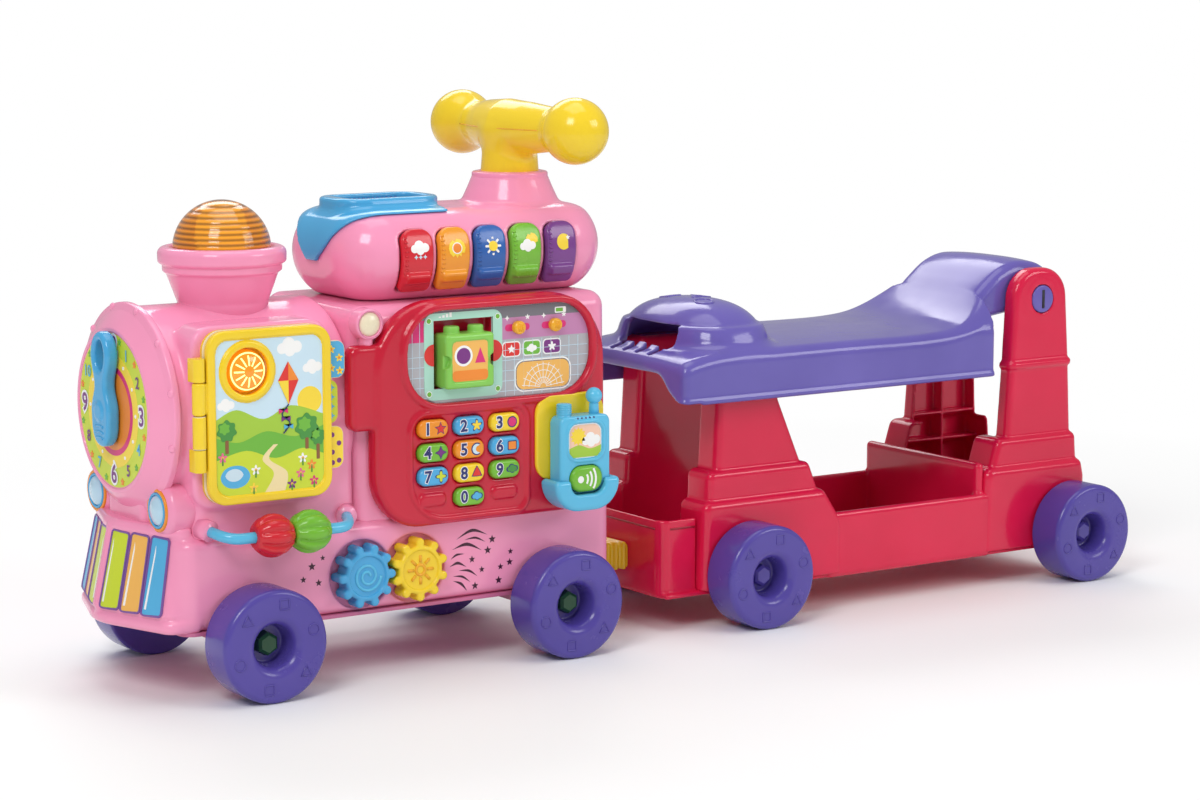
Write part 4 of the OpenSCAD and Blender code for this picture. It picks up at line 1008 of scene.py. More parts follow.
def book_cover():
    f = Field((-57, -101, 156), (69, -90, 298), 0.9)
    cover = plate(f, rect(BOOK_X, BOOK_Z, 16), -98.6, -92, 1.6)
    inner = rect((BOOK_X[0] + 7, BOOK_X[1] - 7), (BOOK_Z[0] + 7, BOOK_Z[1] - 7), 11)
    cover = cut(cover, plate(f, inner, -110, COVER_FACE), 1.2)
    cover = join(cover, peg(f, *LIGHT, 24, -99, -93, 1.6), 1)
    cover = cut(cover, disc(f.x, f.z, *LIGHT, 18.8), 1.2)
    barrel = post(f, *HINGE, 5.4, 230.9, 256.6, 1.8)
    cover = join(join(cover, barrel), block(f, (HINGE[0], -40), (COVER_FACE, -92), (232, 255.6), 1))
    f.skin("book_cover_frame", cover, yellow, "book_cover", ["book_cover"])
    knuckle = rounded([(4.6, 204.4, 0), (5.4, 204.4, 1.2), (5.4, 230.1, 1.2), (4.6, 230.1, 0)])
    add_mesh("book_leaf_knuckle", *lathe(knuckle, "z", (*HINGE, 0), 32), yellow, "book_page")


def hill(top):
    """Ground from a line of tops down to the picture's rounded lower edge."""
    return curve_of(top) + [(59.3, 177), (57.8, 171), (54, 167.2), (48, 165.2), (-25, 165.2), (-31, 167.2),
                            (-35, 171), (-36.3, 177)]


def sky_half(edge, s):
    """The sky on one side of the push light's hole, out to the picture's edge."""
    (x, z), ends = LIGHT, (165.2, 288.8)[::s]
    border = rounded([(x, ends[0], 0), (edge, ends[0], 10.5), (edge, ends[1], 10.5), (x, ends[1], 0)])
    return border + [(x + s * 21 * sin(a), z + s * 21 * cos(a)) for a in np.linspace(0, pi, 24)]


def book_picture():
    """A plain landscape: sky, hills, path, pond, trees, a kite and flowers."""
    prints = Prints("book", "book_cover", on_side(COVER_FACE))
    prints.shape("sky", sky_half(59.3, 1), 0.1)
    prints.shape("sky", sky_half(-36.3, -1), 0.1)
    prints.shape("sun", circle(11, (47, 236), 32), 0.16)
    for x, z, w in ((30, 279, 22), (50, 262, 17), (-27, 237, 15)):
        prints.shape("white", cloud(w, (x, z)), 0.16)
    prints.shape("grass", hill([(-36.3, 226), (-18, 233), (6, 224), (30, 233), (59.3, 224)]), 0.22)
    prints.shape("leaf", hill([(-36.3, 212), (-16, 207), (8, 214), (34, 208), (59.3, 215)]), 0.3)
    prints.shape("lime", hill([(-36.3, 194), (-10, 200), (16, 192), (40, 198), (59.3, 192)]), 0.38)
    prints.shape("sand", curve_of([(6, 165.4), (14, 180), (4, 192), (14, 203)])
                 + curve_of([(18, 203), (10, 192), (26, 180), (24, 165.4)]), 0.44)
    prints.shape("water", polar(lambda a: 13 - 4 * abs(sin(a)) ** 1.5, 40, (-20, 180)), 0.44)
    prints.shape("pale", polar(lambda a: 8 - 3 * abs(sin(a)), 32, (-21, 181.5)), 0.5)
    for x, z, r in ((44, 212, 11), (-27, 214, 9), (54, 203, 7)):
        prints.shape("brown", rect((x - 1.5, x + 1.5), (z - 15, z), 0.5), 0.5)
        prints.shape("moss", flower(r, (x, z + 3), 7, 0.1), 0.56)
        prints.shape("leaf", flower(r * 0.55, (x - 2, z + 5), 6, 0.12), 0.62)
    kite = [(28, 268), (37, 253), (28, 234), (19, 253)]
    prints.shape("scarlet", kite, 0.66)
    prints.shape("orange", [kite[0], kite[1], (28, 253)], 0.72)
    prints.shape("sun", [(28, 253), kite[3], kite[2]], 0.72)
    tail = curve_of([(28, 234), (22, 226), (29, 219), (23, 211)])
    prints.line("navy", tail, 0.7, 0.5)
    for k, (u, v) in enumerate(tail[4::5]):
        bow = [(u - 4, v + 2), (u + 4, v - 2), (u + 4, v + 2), (u - 4, v - 2)]
        prints.shape(("magenta", "violet", "water")[k % 3], bow, 0.74)
    blooms = ((38, 178, "rose"), (48, 184, "orange"), (30, 170, "violet"), (50, 171, "magenta"),
              (-4, 170, "sun"), (-31, 196, "rose"), (40, 190, "white"), (-2, 184, "white"))
    for x, z, colour in blooms:
        prints.line("moss", [(x, z - 6), (x, z)], 0.5, 0.6)
        prints.shape(colour, flower(4.2, (x, z)), 0.62)
        prints.shape("apricot", circle(1.3, (x, z), 12), 0.72)
    prints.done()


def book_tabs():
    """Tabs of the leaf and of the book's back, beside the cover."""
    rows = [("water", rect((60, 81.6), (251.4, 280.6), 6.6), 0.15)]
    for middle in ((70, 274), (77, 267), (70, 259), (77.5, 256.5)):
        rows += [("sun", flower(3.4, middle), 0.25), ("orange", circle(1.1, middle, 10), 0.32)]
    rows.append(("sun", rect((60, 79.6), (178.4, 211.6), 6.6), 0.15))
    for middle in ((70, 205), (76, 198), (70, 191), (76, 184), (70, 182.5)):
        rows.append(("violet", circle(2.1, middle, 16), 0.25))
    print_rows("leaf_tabs", "book_page", on_side(-91.5), rows)
    rows = [("lime", rect((62, 76.6), (214.4, 248.6), 6.6), 0.15)]
    rows += [("water", star(3.2, (71.5, 220 + 7.6 * k), 4, 0.4), 0.25) for k in range(4)]
    print_rows("back_tab", "engine", on_side(-88.5), rows)


def push_light():
    body = "light_button"
    lens = [(0.01, -100.6), (5, -100.3), (9.5, -99.4), (13.5, -97.8), (16.2, -95.4), (17, -92.5), (17, -82),
            (0.01, -81.6)]
    add_mesh("push_light_lens", *lathe(lens, "y", (LIGHT[0], 0, LIGHT[1]), 48), amber, body, [body])
    rays = Merge()
    for k in range(12):
        ray = [side_spot(LIGHT, r, k * TURN / 12, y) for r, y in ((4.5, -100.3), (9.5, -99.4), (12.5, -98.2))]
        rays.add(*tube(ray, 0.7, 6))
    ring = [side_spot(LIGHT, 14.6, a, -97.0) for a in np.linspace(0, TURN, 40, endpoint=False)]
    rays.add(*tube(ring, 0.7, 6, closed=True))
    rays.piece("push_light_rays", bright, body)


book_cover()
book_picture()
book_tabs()
push_light()


# Bead rod, beads and gears

ROD_Y, ROD_Z, ROD_X = -106.0, 132.0, (-30.0, 78.0)


def bead_rod():
    ends = [np.array((x, ROD_Y + 27, ROD_Z + 6)) for x in (ROD_X[0] - 10, ROD_X[1] + 10)]
    bends = [np.array((x, ROD_Y, ROD_Z)) for x in ROD_X]
    path = []
    for end, bend, inward in ((ends[0], bends[0], 1), (ends[1], bends[1], -1)):
        near, far = bend + (end - bend) * 0.5, bend + np.array((12.0 * inward, 0, 0))
        part = [end] + [near * (1 - t) ** 2 + 2 * bend * t * (1 - t) + far * t ** 2
                        for t in np.linspace(0, 1, 9)]
        path += part if inward > 0 else part[::-1]
    add_mesh("bead_rod_wire", *tube(path, 4.5, 20), pale_blue, "engine", ["bead_rod"])
    steps = [(bend - end) / np.linalg.norm(bend - end) for end, bend in zip(ends, bends)]
    bosses = [[end + step * by for by in (-3, 5, 8, 8.2)] for end, step in zip(ends, steps)]
    ridges("bead_rod_bosses", bosses, 8.5, pink, "engine", 24)


def bead(name, x, material):
    profile = [(4.9, -15.9), (8.5, -16), (10.6, -15), (13.2, -12), (15.9, -8), (17.3, -3.5)]
    profile += [(17.5, 0)] + [(r, -w) for r, w in profile[::-1]]

    def flute(angle, w):
        deep = 0.17 if abs(w) < 13 else 0.06
        return 1 - deep * (0.5 - 0.5 * np.cos(8 * angle)) ** 3
    fine = curve_of(profile, 4)
    add_mesh(name + "_ball", *lathe(fine, "x", (x, ROD_Y, ROD_Z), 96, flute), material, name, [name])


def gear(name, x, phase, material, motif, motif_paint):
    f = Field((x - 29, -99, GEAR_Z - 29), (x + 29, -77, GEAR_Z + 29), 0.8)
    radius = np.hypot(f.x - x, f.z - GEAR_Z)
    flat = radius - 20.5
    for k in range(10):
        a = phase + k * TURN / 10
        flat = join(flat, disc(f.x, f.z, *spot((x, GEAR_Z), 22.75, a), 3.8), 1.6)
    wheel = both(flat, slab(f.y, -96, -78.8), 2.4)
    wheel = cut(wheel, both(radius - 16.5, slab(f.y, -110, -94)), 1.4)
    f.skin(name + "_wheel", wheel, material, name, [name])
    marks = Merge()
    for path, closed in motif:
        marks.add(*tube([(x + u, -94.1, GEAR_Z + v) for u, v in path], 1.3, 8, closed))
    marks.piece(name + "_motif", motif_paint, name)


bead_rod()
bead("bead_red", 7.0, key_red)
bead("bead_green", 40.0, green)
spiral = [spot((0, 0), 2.5 + 1.55 * t, 1.9 * t) for t in np.linspace(0, 6.6, 60)]
gear("gear_blue", GEAR_X[0], 0.0, blue, [(spiral, False)], pale_blue)
sun_face = [(circle(4.2, n=24), True)]
sun_face += [([spot((0, 0), r, k * TURN / 8) for r in (6.5, 12)], False) for k in range(8)]
gear("gear_yellow", GEAR_X[1], TURN / 20, yellow, sun_face, gold)


# Phone panel

PANEL_FACE, PANEL_BACK = -97.0, -79.8
AHEAD = -120.0  # in front of every face, where cuts begin
SCREEN_X, SCREEN_Z, SCREEN_R = (137.0, 315.0), (223.0, 299.0), 33.0
BAY_X, BAY_Z = (163.0, 220.0), (234.7, 291.0)
PLATE_FACE, BLOCK_FACE = -94.6, -105.6
KEY_X0, KEY_DX, KEY_Z0, KEY_DZ = 159.6, 34.5, 203.0, 19.7
KEY_W, KEY_H, KEY_FACE = 28.0, 15.0, -101.0
KEY_PAINTS = (green, orange, blue, yellow, green, orange, blue, blue, yellow, green)


def key_place(i):
    column, row = (1, 3) if i == 0 else ((i - 1) % 3, (i - 1) // 3)
    return KEY_X0 + column * KEY_DX, KEY_Z0 - row * KEY_DZ


def pill(i, by=0.0):
    x, z = key_place(i)
    half_w, half_h = KEY_W / 2 + by, KEY_H / 2 + by
    return rect((x - half_w, x + half_w), (z - half_h, z + half_h), KEY_H * 0.45 + by)


def panel():
    f = Field((84, -102, 119), (334, -78, 311), 1.2)
    outline = rounded([(107, 122, 44), (331, 122, 40), (331, 308, 58), (107, 308, 58)], 12)
    body = plate(f, outline, PANEL_FACE, PANEL_BACK, 6)
    body = join(body, plate(f, rect((86, 128), (205, 275), 8), -94.5, PANEL_BACK, 5), 2)
    screen = f.side(rect(SCREEN_X, SCREEN_Z, SCREEN_R))
    body = join(body, both(np.abs(screen - 3.2) - 3.2, slab(f.y, -100, -90), 2.6), 1.5)
    body = cut(body, both(screen, slab(f.y, AHEAD, -92.4)), 0.8)
    body = cut(body, meet(slab(f.x, *BAY_X), slab(f.z, *BAY_Z), f.y + 83), 0.8)
    pad = f.side(rounded([(139, 127, 34), (252, 127, 12), (252, 216, 12), (139, 216, 16)], 10))
    body = join(body, both(np.abs(pad) - 2.2, slab(f.y, -98.9, -92), 1.9), 1.4)
    for i in range(10):
        body = cut(body, plate(f, pill(i, 0.9), AHEAD, -94.5), 0.6)
    for x in (159.6, 228.6):
        body = join(body, plate(f, rect((x - 12.5, x + 12.5), (138.6, 149.6), 5), -99.2, -92, 2), 1.2)
    f.skin("panel_body", body, panel_red, "engine", ["phone_panel"])


def screen_edge(z):
    """How far the screen's rounded ends are drawn in at a height."""
    over = max(z - (SCREEN_Z[1] - SCREEN_R), SCREEN_Z[0] + SCREEN_R - z, 0)
    return SCREEN_R - math.sqrt(max(SCREEN_R ** 2 - over ** 2, 0))


def screen_band(low, high, x0=-1e3, x1=1e3):
    """Part of the screen between two heights, cut by its rounded ends."""
    levels = np.linspace(low, high, 12)
    left = [(max(x0, SCREEN_X[0] + 0.4 + screen_edge(z)), z) for z in levels]
    right = [(min(x1, SCREEN_X[1] - 0.4 - screen_edge(z)), z) for z in levels]
    return [(float(x), float(z)) for x, z in right + left[::-1]]


def screen_prints():
    side = on_side(PLATE_FACE)
    prints = Prints("screen", "engine", side)
    for colour, *band in (("grey", 289, 298.6, 226), ("grey", 292, 298.6, -1e3, 226),
                          ("lilac", 271, 289, 226), ("silver", 223.4, 271, 226),
                          ("magenta", 274, 292, -1e3, 157), ("silver", 223.4, 274, -1e3, 157),
                          ("silver", 223.4, 229, 157, 226)):
        prints.shape(colour, screen_band(*band), 0.15)
    for z in np.arange(228, 270, 8.5):
        edge = screen_edge(z)
        for ends in ((226.5, SCREEN_X[1] - 1.5 - edge), (SCREEN_X[0] + 1.5 + edge, 156.5)):
            prints.line("pale", [(x, z) for x in ends], 0.2, 0.32)
    for x in (143, 150, 232, 241, 250, 259, 268, 277, 286, 295, 304):
        edge = min(x - SCREEN_X[0], SCREEN_X[1] - x)
        low = SCREEN_Z[0] + SCREEN_R - math.sqrt(max(SCREEN_R ** 2 - max(SCREEN_R - edge, 0) ** 2, 0)) + 1
        prints.line("pale", [(x, low), (x, 270 if x > 200 else 290 - max(0, 8 - edge) * 3)], 0.2, 0.32)
    for k in range(4):
        prints.shape("white", rect((168 + 3.4 * k, 170.2 + 3.4 * k), (293.2, 294.2 + k * 0.95), 0.2), 0.7)
    prints.shape("white", rect((281, 292), (290, 295), 1), 0.3)
    prints.shape("leaf", rect((282, 289), (291, 294), 0.4), 0.4)
    for x in (244, 280):
        prints.shape("magenta", rect((x - 12, x + 12), (277.6, 283.4), 2.8), 0.3)
        prints.shape("white", star(2.4, (x - 10, 288.6), 4, 0.4), 0.3)
        prints.shape("white", flower(2.2, (x + 10, 288.6)), 0.3)
    for x, colour, form in ((238, "scarlet", star(4, (238, 262.5))), (258, "leaf", cloud(10, (258, 262))),
                            (278, "violet", flower(4, (278, 262.5)))):
        prints.shape("white", rect((x - 9, x + 9), (256, 269), 3.4), 0.3)
        prints.shape(colour, rect((x - 8, x + 8), (257, 268), 2.8), 0.4)
        prints.shape("white", form, 0.5)
    prints.shape("white", rect((241, 297), (226, 253), 9), 0.3)
    prints.shape("grey", rect((242.2, 295.8), (227.2, 251.8), 8), 0.4)
    prints.shape("apricot", rect((243, 295), (228, 251), 7.4), 0.5)
    hub = (269, 229)
    for r in (8, 14, 19):
        prints.line("white", [spot(hub, r, t) for t in np.linspace(0.06, 3.08, 24)], 0.55, 0.3)
    for t in np.linspace(0.12, 3.02, 11):
        reach = min(21.0, 23.5 / max(abs(cos(t)), 0.01))
        prints.line("white", [spot(hub, r, t) for r in (3, reach)], 0.55, 0.3)
    prints.done()
    frame_strip = Merge()
    (x0, x1), (z0, z1) = BAY_X, BAY_Z
    for form in ([(x0 - 9, 225.5, 9), (x0, 225.5, 0), (x0, 297, 0), (x0 - 9, 297, 9)],
                 [(x1, 225.5, 0), (x1 + 9, 225.5, 9), (x1 + 9, 297, 9), (x1, 297, 0)],
                 [(x0, 225.5, 0), (x1, 225.5, 0), (x1, z0, 0), (x0, z0, 0)],
                 [(x0, z1, 0), (x1, z1, 0), (x1, 297, 0), (x0, 297, 0)]):
        inlay(frame_strip, rounded(form, 6), side, 0.55)
    tabs = Prints("bay", "engine", side)
    for x, turn in ((x0, 90), (x1, -90)):
        tabs.shape("scarlet", arc_band((x, 262.8), 4.5, 9, turn, turn + 180, 16), 0.9)
        for z in (231, 291):
            tabs.shape("white", circle(2.6, (x + turn / 90 * -4.5, z), 18), 0.7)
            tabs.shape("leaf", circle(2.0, (x + turn / 90 * -4.5, z), 18), 0.8)
    tabs.done()
    frame_strip.piece("bay_frame", mint, "engine", smooth=False)


def sliders():
    knob = rounded([(0, -100.8, 0), (4.2, -100.8, 1.6), (5.6, -99.4, 1.6), (5.6, -94.9, 0.6), (0, -94.9, 0)])
    for name, x in (("volume_slider", 244.0), ("mode_slider", 280.0)):
        part = Merge()
        part.add(*lathe(knob, "y", (x, 0, 280.5), 32))
        for k in (-1.8, 0, 1.8):
            part.add(*tube([(x + k, -100.9, 277.6), (x + k, -100.9, 283.4)], 0.55, 6))
        part.piece(name + "_knob", gold, name, [name])


def building_block():
    f = Field((166, -110, 233), (217, -81, 288), 0.9)
    cube = block(f, (168.5, 214.5), (-107, -83.3), (235, 280), 3)
    cube = cut(cube, plate(f, rect((174, 209), (240.5, 274.5), 4), AHEAD, BLOCK_FACE), 0.8)
    for x in (180, 203):
        cube = join(cube, post(f, x, -95, 6.6, 276, 286, 1.6), 1)
    for x in (168.5, 214.5):
        cube = cut(cube, peg(f, x, 257.5, 5, AHEAD, -101), 1)
    f.skin("building_block_body", cube, block_green, "building_block", ["building_block"])
    middle = (185, 262)
    print_rows("block", "building_block", on_side(BLOCK_FACE), (
        ("apricot", rect((174.4, 208.6), (240.9, 274.1), 3.6), 0.2),
        ("orange", rect((174.4, 208.6), (240.9, 250), 3.4), 0.3),
        ("white", circle(8.6, middle, 36), 0.35), ("violet", circle(6.6, middle, 36), 0.45),
        ("magenta", [(196, 255.5), (206, 255.5), (201, 268)], 0.35)))


def number_keys():
    x0, z0 = key_place(1)
    f = Field((x0 - 15, -102, z0 - 9), (x0 + 15, -92, z0 + 9), 0.7)
    points, quads = f.shell(plate(f, pill(1), KEY_FACE, -93, 2.6))
    icons = [cloud(9), star(4.6), flower(4.4), circle(3.8, n=24), star(4.6, points=4), crescent(4.2),
             rect((-3.6, 3.6), (-3.2, 3.2), 1), flower(4.4, petals=4), star(4.8, points=3, inner=0.55),
             cloud(9)]
    tones = ("water", "scarlet", "sun", "magenta", "violet", "sky", "orange", "lime", "scarlet", "moss")
    for i in range(10):
        name = f"number_key_{i}"
        x, z = key_place(i)
        add_mesh(name + "_cap", points + (x - x0, 0, z - z0), quads, KEY_PAINTS[i], name, [name])
        prints = Prints(name, name, on_side(KEY_FACE))
        prints.number("white", str(i), 13.5, (x - 6.2, z), 0.12, 0.075)
        prints.number("navy", str(i), 13.5, (x - 6.2, z), 0.3, 0.03)
        rim = [(x + 6 + u * 1.25, z + v * 1.25) for u, v in icons[i]]
        prints.shape("navy", rim, 0.15)
        prints.shape(tones[i], [(x + 6 + u, z + v) for u, v in icons[i]], 0.3)
        prints.done()


panel()
paint("screen_plate", inks["pale"])
screen_prints()
sliders()
building_block()
number_keys()


# Handset in its cradle

HANDSET_X, HANDSET_Z = (271.0, 321.0), (137.0, 206.0)
HANDSET_FACE, GLASS_FACE, CALL_FACE = -119.0, -117.8, -122.0


def handset_form(f, by=0.0, roof=0.0):
    """The handset's outlines from the front and from its end, with room round them and above."""
    (x0, x1), (z0, z1) = HANDSET_X, HANDSET_Z
    x0, x1, z0, z1, front, back = x0 - by, x1 + by, z0 - by, z1 + roof, HANDSET_FACE - by, -100.6 + by
    face = rounded([(x0, z0, 13), (x1, z0, 13), (x1, z1, 8), (x0, z1, 8)])
    end = [(back, z0), (back, z1), (front, z1), (front, 151 - by), (-113.5 - by, z0)]
    return f.side(face), inside_of(f.y, f.z, end)


def handset():
    f = Field((268, -121, 135), (324, -99, 209), 0.9)
    body = both(*handset_form(f), 3)
    body = cut(body, plate(f, rect((279.8, 312.2), (140.6, 163.4), 10.9), -140, -112.2), 0.8)
    glass = f.side(rect((279, 313), (169, 199), 9))
    body = join(body, both(np.abs(glass - 1.4) - 1.4, slab(f.y, -120.4, -112), 1.2), 1)
    body = cut(body, both(glass, slab(f.y, -140, GLASS_FACE)), 0.8)
    f.skin("handset_body", body, pale_blue, "handset", ["handset"])
    posts, aerial = Merge(), (310, -110, 0)
    posts.add(*lathe(rounded([(0, 200, 0), (4.6, 200, 0), (4, 214, 1), (0, 214, 0)]), "z", aerial, 24))
    knob = [(0.01, 213)] + [(7 * sin(a), 220 - 7 * cos(a)) for a in np.linspace(0.25, pi - 0.02, 18)]
    posts.add(*lathe(knob, "z", aerial, 32))
    stub = [(0.01, 200), (6.5, 200)]
    for k in range(5):
        stub += [(6.6, 205.6 + 1.9 * k), (5.9, 206.2 + 1.9 * k), (6.6, 206.8 + 1.9 * k)]
    stub += [(6.2, 215), (5, 215.6), (0.01, 215.8)]
    posts.add(*lathe(stub, "z", (280, -110, 0), 32))
    posts.piece("handset_aerials", pale_blue, "handset")
    hills = curve_of([(280.2, 178), (290, 180.5), (301, 177), (311.8, 179.5)])
    hills += [(311.6, 174), (308, 170.2), (284, 170.2), (280.4, 174)]
    print_rows("handset", "handset", on_side(GLASS_FACE), (
        ("white", rect((279.4, 312.6), (169.4, 198.6), 8.6), 0.15),
        ("peach", rect((280.6, 311.4), (170.6, 197.4), 7.6), 0.25),
        ("sun", star(8, (289, 188), 12, 0.72), 0.35), ("white", cloud(18, (302, 184)), 0.35),
        ("grass", hills, 0.35)))
    # Navy dots for the grille's holes: painted shade in the holes.
    dots = [("navy", circle(0.9, (288 + 4 * k, 203.2), 10), 0.12) for k in range(5)]
    print_rows("handset_grille", "handset", on_side(HANDSET_FACE), dots)


def call_button():
    f = Field((278, -124, 139), (314, -112, 165), 0.8)
    cap = plate(f, rect((280.2, 311.8), (141, 163), 10.5), CALL_FACE, -114.2, 3.5)
    f.skin("call_button_cap", cap, green, "handset_button", ["handset_button"])
    middle = (289, 152)
    rows = [("white", circle(3.0, middle, 18), 0.15)]
    rows += [("white", arc_band(middle, r, 1.8, -34, 34, 10), 0.15) for r in (7, 11, 15)]
    print_rows("call", "handset_button", on_side(CALL_FACE), rows)


def cradle():
    f = Field((262, -126, 123), (330, -95, 155), 1.0)
    pocket = plate(f, rounded([(264, 125, 24), (328, 125, 24), (328, 152, 4), (264, 152, 4)]), -124, -97, 4)
    pocket = cut(pocket, np.maximum(*handset_form(f, 0.5, 40)), 1.5)
    pocket = cut(pocket, np.maximum(f.side(rect((279, 313), (139, 190), 9)), f.y + 113), 2)
    f.skin("cradle_cup", pocket, pale_blue, "engine", ["cradle_pocket"])
    f = Field((256, -103, 150), (330, -95, 225), 1.0)
    back = plate(f, rect((259, 327), (150, 222), 16), -100.2, -96, 1.5)
    f.skin("cradle_back_plate", back, yellow, "engine", ["cradle_back"])


handset()
call_button()
cradle()


# Hitch and wagon

LEG_IN, POST_IN = 46.0, 61.2
SEAT_SKIRT, SHELL_WALL = 198.5, 3.2
PIN_X, PIN_Z = 839.0, 265.0
HITCH_X, HITCH_Z = 367.0, (48.4, 70.8)
LOW_OUT, MIDDLE_OUT = 86.8, 81.6
TUB_LOW, TUB_FLOOR = 29, 33


def hitch():
    f = Field((346, -30, 45), (406, 30, 74), 1.0)
    width = np.interp(f.x, (HITCH_X, 402), (17, 26))
    bar = both(np.maximum(np.abs(f.y) - width, slab(f.x, HITCH_X, 404)), slab(f.z, *HITCH_Z), 4)
    bar = join(bar, post(f, HITCH_X, 0, 18, *HITCH_Z, 4), 2)
    bar = cut(bar, disc(f.x, f.y, HITCH_X, 0, 5.6), 1)
    for x in (384, 391, 398):
        rib = both(both(slab(f.x, x - 1.8, x + 1.8), np.abs(f.y) - width - 2), slab(f.z, 47.6, 72.6), 1.5)
        bar = join(bar, rib, 1.2)
    f.skin("hitch_tongue", bar, yellow, "wagon", ["hitch_bar"])


def tub():
    f = Field((399, -88, 26), (889, 88, 123), 1.6)
    tray = f.plan(rect((402, 470), (-77, 77), 10))
    body = both(both(tray, slab(f.z, TUB_LOW, 98), 2), f.x - 440)
    body = cut(body, both(tray + SHELL_WALL, TUB_FLOOR - f.z, 2), 1)
    body = join(body, block(f, (404, 886), (-83, 83), (TUB_LOW, TUB_FLOOR), 1.5), 2)
    for y in ((-86.0, -77.6), (77.6, 86.0)):
        body = join(body, block(f, (580, 772), y, (TUB_LOW, 88), 4), 2)
    body = join(body, block(f, (756.4, 766), (-83, 83), (TUB_LOW, 117), 4.6), 3)
    body = join(body, block(f, (882, 886), (-46, 46), (TUB_LOW, 98), 1.8), 3)
    for x in (WAGON_X, WAGON_REAR):
        body = join(body, block(f, (x - 9, x + 9), (-82, 82), (TUB_LOW, 56), 2), 2)
    f.skin("tub_body", body, red, "wagon", ["wagon_tub"])
    # The rim's groove is drawn as darker red lines: painted shade in the groove.
    rim = [[(401.9, y, 90) for y in np.linspace(-68, 68, 12)]]
    rim += [[(x, y, 90) for x in np.linspace(412, 438, 6)] for y in (-77.1, 77.1)]
    ridges("tub_rim_groove", rim, 0.9, groove_shade_red, "wagon")


def tier(f, side, out, soft):
    """One step of a leg: its outline seen from the side, and how far out it stands."""
    return both(f.side(rounded(side)), f.y - out, soft)


def leg_face(z):
    """How far out the upper part of a leg stands."""
    return np.interp(z, (140, 300), (77.4, 76.4))


def beam_gap(f, leg, x):
    """Leaves room for the axle beam under a leg."""
    return cut(both(leg, 32.6 - f.z), meet(np.abs(f.x - x) - 9.6, f.z - 56.6, f.y - 83))


def front_legs():
    f = Field((436, 43, 28), (600, 89, 246), 1.4)
    low = tier(f, [(440, 10, 0), (597, 10, 0), (596, 82, 16), (576, 111, 8), (443, 111, 8)], LOW_OUT, 7)
    middle = tier(f, [(448, 60, 0), (585, 60, 0), (573, 110, 0), (562, 137, 7), (451, 137, 7)], MIDDLE_OUT, 6)
    top = tier(f, [(457, 60, 0), (590, 60, 0), (571, 102, 0), (531, 195, 30), (520, 242.5, 4),
                   (467, 242.5, 4)], leg_face(f.z), 6)
    leg = both(join(join(low, middle, 1.5), top, 1.5), LEG_IN - f.y, 5)
    shells = with_twin(*f.shell(beam_gap(f, leg, WAGON_X)))
    add_mesh("front_leg_shells", *shells, red, "wagon", ["front_legs"])


def rear_posts():
    f = Field((757, 43, 28), (891, 89, 300), 1.4)
    low = tier(f, [(762, 10, 0), (890, 10, 0), (889, 95, 12), (885, 111, 7), (766, 111, 10)], LOW_OUT, 7)
    middle = tier(f, [(768, 60, 0), (886, 60, 0), (883, 112, 0), (881, 137, 7), (784, 137, 9), (776, 112, 0)],
                  MIDDLE_OUT, 6)
    top = tier(f, [(794, 60, 0), (880, 60, 0), (878, 140, 0), (875, 204, 0), (869, 294, 28.5),
                   (806.5, 294, 28.5), (801.5, 204, 0), (797, 140, 0)], leg_face(f.z), 6)
    ring = both(top - 2.6, slab(f.z, 200.5, 207.5), 2.8)
    outer = join(join(low, middle, 1.5), join(top, ring, 1.5), 1.5)
    leg = cut(both(outer, np.where(f.z < 137, LEG_IN, POST_IN) - f.y, 2), outer + SHELL_WALL)
    ribs = np.abs(f.x - 836) - 1.3
    for z in (115, 141, 206):
        ribs = np.minimum(ribs, np.abs(f.z - z) - 1.3)
    leg = join(leg, meet(outer + 1, ribs, 62 - f.y), 1)
    leg = join(leg, meet(disc(f.x, f.z, PIN_X, PIN_Z, 19), POST_IN - f.y, f.y - 76), 1)
    leg = cut(leg, disc(f.x, f.z, PIN_X, PIN_Z, 13.4))
    shells = with_twin(*f.shell(beam_gap(f, leg, WAGON_REAR)))
    add_mesh("rear_post_shells", *shells, red, "wagon", ["rear_posts"])


HOOD_X, HOOD_Z, HOOD_SIZE, HOOD_POWER = 490.0, 234.0, (51.0, 77.0, 48.0), 2.5


def hood_form(x, y, z):
    """Zero on the hood: a broad dome with a squared plan."""
    parts = [(np.abs(a) / s) ** HOOD_POWER for a, s in zip((x - HOOD_X, y, z - HOOD_Z), HOOD_SIZE)]
    return (sum(parts) ** (1 / HOOD_POWER) - 1) * 44


def hood_height(x, y):
    """Height of the hood's surface over a place on the seat."""
    q = 1 - (abs(x - HOOD_X) / HOOD_SIZE[0]) ** HOOD_POWER - (abs(y) / HOOD_SIZE[1]) ** HOOD_POWER
    return HOOD_Z + HOOD_SIZE[2] * max(q, 0) ** (1 / HOOD_POWER)


